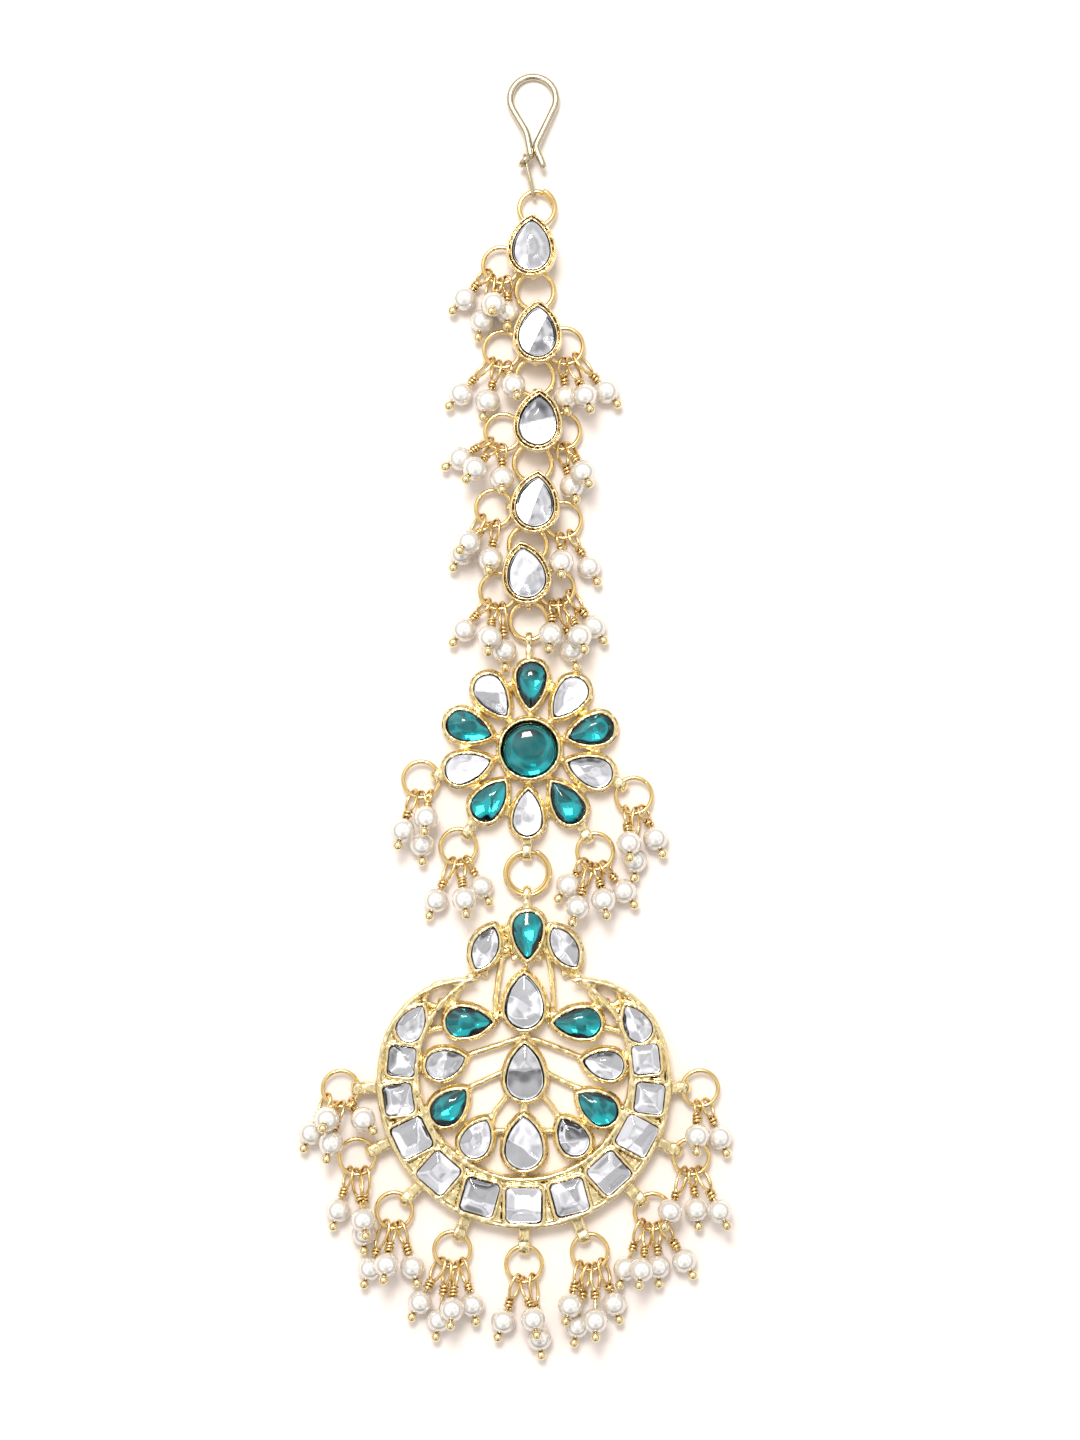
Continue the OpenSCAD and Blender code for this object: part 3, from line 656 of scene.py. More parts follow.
    def piece(self, name: str, finish: bpy.types.Material, share: float, wobble: float) -> bpy.types.Object:
        """Makes the Blender object, thinned to fewer faces.

        Args:
            name: name of the piece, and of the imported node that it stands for.
            finish: its metal.
            share: share of the triangles that stays.
            wobble: height of the casting's unevenness, which the metal near the table lacks.

        Returns:
            The object, which rides on the jewel's body.
        """
        self.metal = np.maximum(self.metal, (FLOOR_Z - self.z)[None, None, :])
        points, faces = self.net()
        a, b, c, d = (points[faces[:, k]] for k in range(4))
        diagonal = np.cross(c - a, d - b)
        normals = np.zeros_like(points)
        for k in range(4):
            for axis in range(3):
                normals[:, axis] += np.bincount(faces[:, k], diagonal[:, axis], len(points))
        normals /= np.linalg.norm(normals, axis=1)[:, None] + 1e-9
        coarse, fine = ripple(points, 1.5, 11), ripple(points, 0.6, 12)
        uneven = 0.6 * coarse + 0.4 * fine
        resting = np.clip((points[:, 2] - 0.15) / 0.3, 0, 1)
        points = points + normals * (wobble * (uneven - 0.5) * resting)[:, None]
        mesh = bpy.data.meshes.new(name)
        mesh.from_pydata((points * MM).tolist(), [], faces.tolist())
        mesh.update()
        raw = put(name + "_raw", mesh)
        thin = raw.modifiers.new("thin", "DECIMATE")
        thin.ratio = share
        thin.use_collapse_triangulate = True
        evaluated = raw.evaluated_get(bpy.context.evaluated_depsgraph_get())
        final = bpy.data.meshes.new_from_object(evaluated)
        bpy.data.objects.remove(raw)
        bpy.data.meshes.remove(mesh)
        final.name = name
        final.materials.clear()
        final.materials.append(finish)
        final.polygons.foreach_set("use_smooth", [True] * len(final.polygons))
        return keep(name, final)


# Finishes


class Nodes:
    """Short way to write a node tree."""

    def __init__(self, tree: bpy.types.NodeTree) -> None:
        """Keeps the tree and empties it."""
        self.tree = tree
        tree.nodes.clear()

    def add(self, kind: str, **values: object) -> bpy.types.Node:
        """Adds a node and sets its own properties.

        Args:
            kind: the node's type.
            values: its properties.

        Returns:
            The node.
        """
        node = self.tree.nodes.new(kind)
        for name, value in values.items():
            setattr(node, name, value)
        return node

    def link(self, source: bpy.types.NodeSocket, target: bpy.types.NodeSocket) -> None:
        """Joins two sockets."""
        self.tree.links.new(source, target)

    def feed(self, value: object, target: bpy.types.NodeSocket) -> None:
        """Joins a socket to the target, or sets the target to a number.

        Args:
            value: socket or number.
            target: where it goes.
        """
        if isinstance(value, bpy.types.NodeSocket):
            self.link(value, target)
        else:
            target.default_value = value

    def group(self, tree: bpy.types.NodeTree, **values: float) -> bpy.types.Node:
        """Places a shared effect.

        Args:
            tree: the effect.
            values: its inputs by name, where they aren't the effect's own.

        Returns:
            The node.
        """
        node = self.add("ShaderNodeGroup", node_tree=tree)
        for name, value in values.items():
            node.inputs[name].default_value = value
        return node

    def pattern(
        self, kind: str, place: bpy.types.NodeSocket, scale: object, **values: object
    ) -> bpy.types.Node:
        """Adds a pattern that fills space.

        Args:
            kind: the node's type.
            place: where it is read.
            scale: how fine it is, in waves to the metre, as a socket or number.
            values: its properties.

        Returns:
            The node.
        """
        node = self.add(kind, **values)
        self.link(place, node.inputs["Vector"])
        self.feed(scale, node.inputs["Scale"])
        return node

    def math(self, operation: str, *values: object) -> bpy.types.NodeSocket:
        """Adds a sum.

        Args:
            operation: what is done.
            values: the sockets and numbers that it is done with.

        Returns:
            The result.
        """
        node = self.add("ShaderNodeMath", operation=operation)
        for value, target in zip(values, node.inputs):
            self.feed(value, target)
        return node.outputs[0]

    def step(self, value: bpy.types.NodeSocket, *limits: float) -> bpy.types.NodeSocket:
        """Adds a smooth step.

        Args:
            value: what the step is measured along.
            limits: where it starts and ends, and the results before and after it where they aren't 0 and 1.

        Returns:
            The result.
        """
        node = self.add("ShaderNodeMapRange", interpolation_type="SMOOTHSTEP")
        self.link(value, node.inputs["Value"])
        for name, limit in zip(("From Min", "From Max", "To Min", "To Max"), limits):
            node.inputs[name].default_value = limit
        return node.outputs["Result"]

    def mix(
        self, share: bpy.types.NodeSocket, a: tuple[float, ...], b: tuple[float, ...]
    ) -> bpy.types.NodeSocket:
        """Adds a blend of two colours.

        Args:
            share: how much of the second colour shows.
            a: first colour.
            b: second colour.

        Returns:
            The colour.
        """
        node = self.add("ShaderNodeMix", data_type="RGBA")
        self.link(share, node.inputs[0])
        node.inputs[6].default_value, node.inputs[7].default_value = (*a, 1.0), (*b, 1.0)
        return node.outputs[2]


def effect(
    name: str, inputs: dict[str, float], outputs: tuple[str, ...]
) -> tuple[Nodes, dict[str, bpy.types.NodeSocket], bpy.types.Node]:
    """Starts a shared effect.

    Args:
        name: its name.
        inputs: its number inputs and their first values.
        outputs: its number outputs.

    Returns:
        Its nodes, its input sockets by name, and its output node.
    """
    tree = bpy.data.node_groups.new(name, "ShaderNodeTree")
    for key, value in inputs.items():
        socket = tree.interface.new_socket(key, in_out="INPUT", socket_type="NodeSocketFloat")
        socket.default_value = value
    for key in outputs:
        tree.interface.new_socket(key, in_out="OUTPUT", socket_type="NodeSocketFloat")
    nodes = Nodes(tree)
    start, end = nodes.add("NodeGroupInput"), nodes.add("NodeGroupOutput")
    return nodes, {key: start.outputs[key] for key in inputs}, end


@cache
def recess_shade_effect() -> bpy.types.NodeTree:
    """Painted shade: a mask from ambient occlusion that grows in corners and under edges, where the gold's
    colour is darkened to stand in for shade and light bounced between its walls.

    Returns:
        The effect, built once.
    """
    nodes, given, end = effect("recess", {"Reach": 0.0006, "Depth": 1.6}, ("Mask",))
    # painted shade: ambient occlusion measures how enclosed each point is, and the mask darkens the colour
    # there
    shade = nodes.add("ShaderNodeAmbientOcclusion", samples=6)
    nodes.link(given["Reach"], shade.inputs["Distance"])
    open_share = nodes.math("POWER", shade.outputs["AO"], given["Depth"])
    nodes.link(nodes.math("SUBTRACT", 1.0, open_share), end.inputs["Mask"])
    return nodes.tree


@cache
def grain_effect() -> bpy.types.NodeTree:
    """Fine unevenness of cast and polished metal, as a height and as a mask.

    Returns:
        The effect, built once.
    """
    nodes, given, end = effect("grain", {"Fineness": 2200.0, "Pits": 0.35}, ("Height", "Mask"))
    place = nodes.add("ShaderNodeTexCoord").outputs["Object"]
    waves = nodes.pattern("ShaderNodeTexNoise", place, given["Fineness"])
    waves.inputs["Detail"].default_value = 3.0
    spots = nodes.pattern("ShaderNodeTexVoronoi", place, given["Fineness"])
    pits = nodes.math("MULTIPLY", spots.outputs["Distance"], given["Pits"])
    nodes.link(nodes.math("ADD", waves.outputs[0], pits), end.inputs["Height"])
    nodes.link(waves.outputs[0], end.inputs["Mask"])
    return nodes.tree


@cache
def crack_effect() -> bpy.types.NodeTree:
    """Mask of thin broken lines where the plating of a casting has folded.

    Returns:
        The effect, built once.
    """
    nodes, given, end = effect("cracks", {"Fineness": 1000.0, "Width": 0.055}, ("Mask",))
    bend_scale, bend_size, patch_scale, patch_start, patch_rise = 1600.0, 0.0006, 420.0, 0.54, 9.0
    place = nodes.add("ShaderNodeTexCoord").outputs["Object"]
    bent = nodes.pattern("ShaderNodeTexNoise", place, bend_scale)
    shift = nodes.add("ShaderNodeVectorMath", operation="MULTIPLY_ADD")
    for value, target in zip((bent.outputs["Color"], (bend_size,) * 3, place), shift.inputs):
        nodes.feed(value, target)
    lines = nodes.pattern(
        "ShaderNodeTexVoronoi", shift.outputs[0], given["Fineness"], feature="DISTANCE_TO_EDGE"
    )
    near = nodes.math("SUBTRACT", 1.0, nodes.math("DIVIDE", lines.outputs["Distance"], given["Width"]))
    patches = nodes.pattern("ShaderNodeTexNoise", place, patch_scale).outputs[0]
    there = nodes.math("MULTIPLY", nodes.math("SUBTRACT", patches, patch_start), patch_rise)
    mask = nodes.math("MULTIPLY", near, nodes.math("MINIMUM", nodes.math("MAXIMUM", there, 0.0), 1.0))
    nodes.link(nodes.math("MAXIMUM", mask, 0.0), end.inputs["Mask"])
    return nodes.tree


class Coat:
    """A material under way: its nodes and its shader."""

    def __init__(self, name: str) -> None:
        """Starts the material, with its shader joined to the output.

        Args:
            name: its name.
        """
        self.material = bpy.data.materials.new(name)
        self.material.use_nodes = True
        self.nodes = Nodes(self.material.node_tree)
        self.shader = self.nodes.add("ShaderNodeBsdfPrincipled")
        end = self.nodes.add("ShaderNodeOutputMaterial")
        self.nodes.link(self.shader.outputs["BSDF"], end.inputs["Surface"])

    def set(self, **values: object) -> None:
        """Sets sockets of the shader, named with _ for a space, to what is the same all over the surface."""
        for name, value in values.items():
            self.shader.inputs[name.replace("_", " ")].default_value = value

    def roughen(self, fineness: float, dent: float, gloss: float, spread: float) -> None:
        """Gives the shader its grain, as a bump and as an uneven gloss.

        Args:
            fineness: how fine the grain is, in waves to the metre.
            dent: height of the bump in millimetres.
            gloss: roughness in the middle of the spread.
            spread: how far the roughness ranges, or nought where it is even.
        """
        nodes = self.nodes
        grain = nodes.group(grain_effect(), Fineness=fineness)
        bump = nodes.add("ShaderNodeBump")
        bump.inputs["Distance"].default_value = dent * MM
        nodes.link(grain.outputs["Height"], bump.inputs["Height"])
        nodes.link(bump.outputs["Normal"], self.shader.inputs["Normal"])
        if spread:
            rough = nodes.math("MULTIPLY_ADD", grain.outputs["Mask"], spread, gloss - spread / 2)
            nodes.link(rough, self.shader.inputs["Roughness"])
        else:
            self.set(Roughness=gloss)


@dataclass(frozen=True)
class Gold:
    """Gold plating over cast or drawn brass.

    Args:
        name: name of the finish.
        bright: colour of the open metal.
        deep: painted shade colour in the recesses, darker and more orange to stand in for shade and bounced
            light, and also the colour of the folds of the plating.
        gloss: roughness of the smooth places.
        dent: height of the bump in millimetres.
        fineness: how fine the grain is, in waves to the metre.
        reach: how far from a corner the painted shade reaches, in millimetres.
        cracks: how strongly folds of the plating show.
        spread: how far the roughness ranges.
    """

    name: str
    bright: tuple[float, float, float]
    deep: tuple[float, float, float]
    gloss: float
    dent: float
    fineness: float
    reach: float
    cracks: float = 0.0
    spread: float = 0.16

    def material(self) -> bpy.types.Material:
        """Makes the material.

        Returns:
            The material.
        """
        coat = Coat(self.name)
        nodes = coat.nodes
        # painted shade: the recess mask blends the metal toward deep in corners and under edges; the folds of
        # the plating add their own lines of that colour
        dark = nodes.group(recess_shade_effect(), Reach=self.reach * MM).outputs["Mask"]
        if self.cracks:
            folds = nodes.math("MULTIPLY", nodes.group(crack_effect()).outputs["Mask"], self.cracks)
            dark = nodes.math("MAXIMUM", dark, folds)
        nodes.link(nodes.mix(dark, self.bright, self.deep), coat.shader.inputs["Base Color"])
        coat.roughen(self.fineness, self.dent, self.gloss, self.spread)
        coat.set(Metallic=1.0)
        return coat.material


@dataclass(frozen=True)
class CutGlass:
    """Clear or tinted glass.

    Args:
        name: name of the finish.
        tint: colour of the glass.
        gloss: roughness of its surface.
        bending: how strongly it bends light.
    """

    name: str
    tint: tuple[float, float, float]
    gloss: float = 0.03
    bending: float = 1.52

    def material(self) -> bpy.types.Material:
        """Makes the material.

        Returns:
            The material.
        """
        coat = Coat(self.name)
        coat.set(Base_Color=(*self.tint, 1.0), Roughness=self.gloss)
        coat.set(Transmission_Weight=1.0, IOR=self.bending)
        return coat.material


@dataclass(frozen=True)
class Foil:
    """Crinkled foil behind a stone.

    Args:
        name: name of the finish.
        colour: colour of the foil.
        gloss: its roughness.
        dent: height of the bump in millimetres.
        fineness: how fine its crinkles are, in waves to the metre.
    """

    name: str
    colour: tuple[float, float, float]
    gloss: float
    dent: float = 0.008
    fineness: float = 450.0

    def material(self) -> bpy.types.Material:
        """Makes the material.

        Returns:
            The material.
        """
        coat = Coat(self.name)
        coat.set(Base_Color=(*self.colour, 1.0), Metallic=1.0)
        coat.roughen(self.fineness, self.dent, self.gloss, spread=0.0)
        return coat.material


@dataclass(frozen=True)
class Nacre:
    """Pearly coat of a bead.

    Args:
        name: name of the finish.
        face: colour seen straight on.
        rim: colour seen at a slant, partly the nacre's own tint and partly painted shade that darkens the
            pearl toward its edges.
        gloss: its roughness.
        spread: how far the roughness ranges.
        dent: height of the bump in millimetres.
        fineness: how fine its grain is, in waves to the metre.
        slant: how soon the colour of the rim begins.
        depth: how strong it gets.
        scatter: how far light of each colour goes below the surface, in metres.
    """

    name: str
    face: tuple[float, float, float]
    rim: tuple[float, float, float]
    gloss: float
    spread: float = 0.12
    dent: float = 0.01
    fineness: float = 900.0
    slant: float = 0.35
    depth: float = 0.9
    scatter: tuple[float, float, float] = (0.0009, 0.0008, 0.0007)

    def material(self) -> bpy.types.Material:
        """Makes the material.

        Returns:
            The material.
        """
        coat = Coat(self.name)
        nodes = coat.nodes
        # partly painted shade: a facing mask blends the darker rim colour in toward the pearl's edges, over
        # the nacre's own tint
        slant = nodes.add("ShaderNodeLayerWeight")
        slant.inputs["Blend"].default_value = self.slant
        mask = nodes.math("MULTIPLY", slant.outputs["Facing"], self.depth)
        nodes.link(nodes.mix(mask, self.face, self.rim), coat.shader.inputs["Base Color"])
        coat.roughen(self.fineness, self.dent, self.gloss, self.spread)
        coat.set(Metallic=0.4, Coat_Weight=1.0, Coat_Roughness=0.06, Coat_IOR=2.0)
        coat.set(Subsurface_Weight=0.12, Subsurface_Radius=self.scatter)
        return coat.material


# The second colour of each gold is painted shade for its recesses; on cast gold it also colours the plating's
# folds.
CAST_GOLD = Gold("cast_gold", (0.95, 0.79, 0.44), (0.34, 0.15, 0.03), 0.2, 0.018, 1300.0, 0.2, 0.75)
WIRE_GOLD = Gold("gold_wire", (0.84, 0.63, 0.28), (0.44, 0.20, 0.04), 0.16, 0.008, 900.0, 0.3)
PALE_GOLD = Gold("pale_gold", (0.62, 0.55, 0.38), (0.42, 0.28, 0.10), 0.16, 0.008, 900.0, 0.3)
CLEAR_GLASS = CutGlass("clear_glass", (0.97, 0.97, 0.985))
TEAL_GLASS = CutGlass("teal_glass", (0.008, 0.31, 0.32))
SILVER_FOIL = Foil("silver_foil", (0.88, 0.90, 0.945), 0.03)
# The pearl's second colour is its rim: partly nacre tint, partly painted shade at the edges.
PEARL = Nacre("pearl", (0.86, 0.835, 0.79), (0.64, 0.53, 0.41), 0.14)


@dataclass
class Finishes:
    """All materials of the jewel, made once.

    Args:
        cast: gold of the castings and of the pins' balls.
        wire: gold of the rings and pins.
        pale: paler gold of the hook and its link.
        clear: clear glass.
        teal: teal glass.
        foil: foil behind the stones.
        pearl: coat of the pearls.
    """

    cast: bpy.types.Material = field(default_factory=CAST_GOLD.material)
    wire: bpy.types.Material = field(default_factory=WIRE_GOLD.material)
    pale: bpy.types.Material = field(default_factory=PALE_GOLD.material)
    clear: bpy.types.Material = field(default_factory=CLEAR_GLASS.material)
    teal: bpy.types.Material = field(default_factory=TEAL_GLASS.material)
    foil: bpy.types.Material = field(default_factory=SILVER_FOIL.material)
    pearl: bpy.types.Material = field(default_factory=PEARL.material)

    def glass(self, kind: Glass) -> bpy.types.Material:
        """Material of that kind of glass."""
        return self.teal if kind is Glass.TEAL else self.clear


class Part(Protocol):
    """Anything that the jewel is put together from."""

    def build(self, finishes: Finishes) -> list[bpy.types.Object]:
        """Makes its pieces from the jewel's materials."""
        ...


# Stones


@dataclass(frozen=True)
class Cut:
    """How a stone is ground.

    Args:
        facets: number of sides of the crown.
        turn: direction of the first of them, in degrees.
        table: share of the half width that the table takes.
        softness: how rounded the edges between the facets are.
        bow: how much the foil's edge stands over its middle.
    """

    facets: int
    turn: float
    table: float
    softness: float
    bow: float


PEAR_CUT = Cut(8, 22.5, 0.42, 0.09, -0.12)
LINK_CUT = Cut(8, 22.5, 0.42, 0.09, -0.2)
OVAL_CUT = Cut(8, 22.5, 0.4, 0.09, -0.08)
SQUARE_CUT = Cut(4, 0.0, 0.48, 0.13, -0.12)
DOME_CUT = Cut(0, 0.0, 0.0, 0.0, -0.08)

STONE_POINTS = 72
# Shares of the way from a stone's middle to its edge at which its foil and its crown have a row of points
FOIL_SHARES = (0.06, 0.16, 0.27, 0.38, 0.49, 0.6, 0.7, 0.8, 0.89, 0.965)
CROWN_SHARES = (1.0, 0.985, 0.95, 0.9, 0.82, 0.74, 0.66, 0.58, 0.5, 0.42, 0.34, 0.26, 0.18, 0.1, 0.04)
CROWN_SWELL = 0.06  # how much the middle of a crown swells over its facets


@dataclass
class Stones:
    """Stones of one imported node.

    Args:
        name: name of the node and of the piece.
        outlines: outline and cut of each stone.
        glass: their glass.
        foot: height of the undersides.
        girdle: height of the widest line.
        top: height of the tables.
    """

    name: str
    outlines: list[tuple[Outline, Cut]]
    glass: Glass
    foot: float
    girdle: float
    top: float

    def height(self, cut: Cut, q: np.ndarray) -> np.ndarray:
        """Height of the crown over its girdle, as a share of the whole.

        Args:
            cut: how the stone is ground.
            q: places, with the outline at a distance of one from the middle.

        Returns:
            One share for each place.
        """
        far = (q ** 2).sum(1)
        if not cut.facets:
            return np.sqrt(1 - 0.86 * far) - 0.374 * far ** 3
        total = np.full(len(q), math.exp(-1 / cut.softness))
        for k in range(cut.facets):
            plane = (1 - q @ polar(1.0, cut.turn + 360 * k / cut.facets)) / (1 - cut.table)
            total += np.exp(-plane / cut.softness)
        return np.clip(-cut.softness * np.log(total), 0, 1) + CROWN_SWELL * np.clip(1 - far, 0, 1)

    def build(self, finishes: Finishes) -> list[bpy.types.Object]:
        """Makes the piece.

        Args:
            finishes: the jewel's materials.

        Returns:
            The piece alone.
        """
        shell = Shell()
        for outline, cut in self.outlines:
            seed = int(abs(outline.x * 10) + abs(outline.y * 100))
            self.grind(shell, outline, cut, np.random.default_rng(seed))
        return [shell.piece(self.name, [finishes.glass(self.glass), finishes.foil], self.glass.value)]

    def grind(self, shell: Shell, outline: Outline, cut: Cut, random: np.random.Generator) -> None:
        """Adds one stone, a closed body whose underside is foil.

        Args:
            shell: where it goes.
            outline: its outline.
            cut: its cut.
            random: source of the foil's slope and of the fold across it.
        """
        count, middle = STONE_POINTS, outline.middle()
        edge, disc = outline.loop(count), spokes(count)
        if outline.shape is Shape.CUSHION:
            disc = edge / (np.array([outline.a, outline.b]) / 2)
        bow = cut.bow * (-0.5 if self.glass is Glass.TEAL else 1.0)
        lean = random.uniform(-0.08, 0.08, 2) if cut.facets else np.array([-0.02, 0.1])
        across = polar(1.0, random.uniform(0, 360))
        aside, steep = random.uniform(-0.6, 0.6), random.uniform(-0.15, 0.15) if cut.facets else 0.0

        def ring(t: float, z: np.ndarray) -> np.ndarray:
            """Row of points at a share t of the way out and at the heights z."""
            return np.column_stack([*outline.place(middle + t * (edge - middle)), z])

        def crumple(t: float) -> np.ndarray:
            """Heights of the foil's slope, bow and fold at a share t of the way out."""
            p = t * (edge - middle)
            return bow * t * t + p @ lean + steep * np.abs(p @ across - aside)

        lowest = min(crumple(t).min() for t in FOIL_SHARES)

        def foil(t: float) -> np.ndarray:
            """Heights of the foil, which rests on the stone's foot and stays under its girdle."""
            return np.minimum(self.foot - lowest + crumple(t), self.girdle - 0.12)

        rise = (self.top - self.girdle) / (1 + CROWN_SWELL)
        rows = [ring(t, foil(t)) for t in FOIL_SHARES]
        rows.append(ring(1.0, foil(1.0) + 0.04))
        foil_rows = len(rows)
        rows += [ring(t, self.girdle + rise * self.height(cut, t * disc)) for t in CROWN_SHARES]
        tips = [ring(0.0, np.full(count, z))[:1] for z in (foil(0.0)[0], rows[-1][:, 2].max())]
        faces, finishes, last = [], [], (len(rows) - 1) * count
        for k in range(count):
            m = (k + 1) % count
            faces.append((m, k, last + count))
            finishes.append(1)
            for i in range(len(rows) - 1):
                faces.append((i * count + k, i * count + m, (i + 1) * count + m, (i + 1) * count + k))
                finishes.append(1 if i < foil_rows else 0)
            faces.append((last + k, last + m, last + count + 1))
            finishes.append(0)
        shell.add(np.vstack([*rows, *tips]), faces, finishes)


# Wires, pins and pearls

RING_POINTS = 48  # points along one turn of a split ring
RING_SLIT = 0.03  # half width of its split
NECK_GAP = 0.1  # from a pearl to the neck of its pin
BENT_NECK_GAP = 0.4  # the same where the pin turns up
BALL_SEAT = 0.06  # how far a pin's ball sits in the bore of its pearl
LOOP_LEAN = 38.0  # how far a pin's loop leans to its side, in degrees


def circle_path(
    at: np.ndarray, u: np.ndarray, v: np.ndarray, radius: float, start: float, end: float, count: int
) -> np.ndarray:
    """Points of an arc in the plane of u and v.

    Args:
        at: its centre.
        u: direction of angle nought.
        v: direction of a quarter turn.
        radius: its radius.
        start: first angle in degrees.
        end: last angle in degrees.
        count: how many points.

    Returns:
        One point per row.
    """
    angles = np.radians(np.linspace(start, end, count))
    return at + radius * (np.outer(np.cos(angles), u) + np.outer(np.sin(angles), v))


@dataclass
class JumpRings:
    """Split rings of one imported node.

    Args:
        name: name of the node and of the piece.
        rings: x, y, radius, half thickness and direction of the split of each ring.
        turns: how many times the wire goes round.
        pitch: rise of each turn over the one before.
        spread: how much wider each turn is than the one before.
    """

    name: str
    rings: list[tuple[float, float, float, float, float]]
    turns: float = 1.0
    pitch: float = 0.36
    spread: float = 0.12

    def build(self, finishes: Finishes) -> list[bpy.types.Object]:
        """Makes the piece.

        Args:
            finishes: the jewel's materials.

        Returns:
            The piece alone.
        """
        shell, count = Shell(), int(RING_POINTS * self.turns)
        along = np.linspace(-0.5, 0.5, count) * self.turns
        for x, y, radius, wire, split in self.rings:
            slit = math.degrees(RING_SLIT / radius)
            start, end = split + slit, split + 360 * self.turns - slit
            path = circle_path(np.array([x, y, RING_Z]), X, Y, radius, start, end, count)
            if self.turns > 1:
                path[:, 2] += self.pitch * along
                path[:, :2] = [x, y] + (path[:, :2] - [x, y]) * (1 + self.spread * along)[:, None]
            shell.wire(path, wire, 12)
        return [shell.piece(self.name, [finishes.wire], "gold_wire")]


@dataclass
class HairHook:
    """Open bow of wire that ends in a small upright eye.

    Args:
        x: centre of the round bend.
        y: centre of the round bend.
        bend: radius of the round bend.
        wire: half thickness.
        tilt: slope of the hook in degrees.
        right_end: direction at which the bend ends and the right leg begins.
        left_end: the same for the left leg.
        right: stretches and bends of the right leg, as leg takes them.
        left: stretches and bends of the left leg.
        eye_at: middle of the eye, in the hook's own plane.
        eye_way: direction that the eye lies along, in degrees.
        eye_bend: radius of the eye.
        eye_wire: half thickness of the eye's wire.
    """

    x: float = 1.89
    y: float = 68.5
    bend: float = 2.55
    wire: float = 0.4
    tilt: float = 8.5
    right_end: float = -25
    left_end: float = 210
    right: tuple[tuple[float, float], ...] = ((4.3, 0), (1.3, 47), (1.7, 0))
    left: tuple[tuple[float, float], ...] = ((2.4, 0), (3.2, -20), (2.25, 0))
    eye_at: tuple[float, float] = (-0.811, -7.095)
    eye_way: float = 40
    eye_bend: float = 0.75
    eye_wire: float = 0.27

    def leg(self, at: np.ndarray, heading: float, rows: tuple[tuple[float, float], ...]) -> np.ndarray:
        """Bent wire that starts at a point.

        Args:
            at: the point, in the hook's own plane.
            heading: direction of travel in degrees.
            rows: length and nought for a straight stretch, or radius and turn for a bend.

        Returns:
            One point per row.
        """
        points, steps = [at], 8
        for size, turn in rows:
            stretch = size / steps if not turn else abs(math.radians(turn)) * size / steps
            for _ in range(steps):
                heading += turn / steps / 2
                at = at + polar(stretch, heading)
                heading += turn / steps / 2
                points.append(at)
        return np.array(points)

    def build(self, finishes: Finishes) -> list[bpy.types.Object]:
        """Makes the piece.

        Args:
            finishes: the jewel's materials.

        Returns:
            The piece alone.
        """
        left = self.leg(polar(self.bend, self.left_end), self.left_end + 90, self.left)
        right = self.leg(polar(self.bend, self.right_end), self.right_end + 270, self.right)
        bow = circle_path(np.zeros(3), X, Y, self.bend, self.right_end, self.left_end, 60)[:, :2]
        flat = np.vstack([right[::-1], bow[1:-1], left])
        a = math.radians(self.tilt)
        rise = self.wire + 0.02 + self.bend * math.sin(a)
        tilted = np.array([X, [0, math.cos(a), -math.sin(a)], [0, math.sin(a), math.cos(a)]])
        place = np.array([self.x, self.y, rise])
        shell = Shell()
        shell.wire(np.column_stack([flat, np.zeros(len(flat))]) @ tilted + place, self.wire, 14)
        across = np.array([*polar(1.0, self.eye_way), 0.0])
        eye = circle_path(np.array([*self.eye_at, 0.0]), across, Z, self.eye_bend, 0, 352.5, 48)
        shell.wire(eye @ tilted + place, self.eye_wire, 10, closed=True)
        return [shell.piece("hair_hook", [finishes.pale], "gold_wire")]


@dataclass
class HookLink:
    """Long closed link that stands on edge through the hook's eye.

    Args:
        x: its lower end.
        y: its lower end.
        height: height of its middle.
        heading: direction that it lies along, in degrees.
        bend: radius of its ends.
        wire: half thickness.
        reach: how far its upper bend lies from its lower end.
    """

    x: float = 2.08
    y: float = 57.25
    height: float = 1.09
    heading: float = 103.3
    bend: float = 0.76
    wire: float = 0.25
    reach: float = 4.3

    def build(self, finishes: Finishes) -> list[bpy.types.Object]:
        """Makes the piece.

        Args:
            finishes: the jewel's materials.

        Returns:
            The piece alone.
        """
        along = np.array([*polar(1.0, self.heading), 0.0])
        at = np.array([self.x, self.y, self.height])
        near, far = at + along * (self.bend + self.wire), at + along * self.reach
        lower = circle_path(near, along, Z, self.bend, 90, 270, 20)
        upper = circle_path(far, along, Z, self.bend, -90, 90, 20)
        shell = Shell()
        shell.wire(np.vstack([lower, upper]), self.wire, 12, closed=True)
        return [shell.piece("hook_link", [finishes.pale], "gold_wire")]


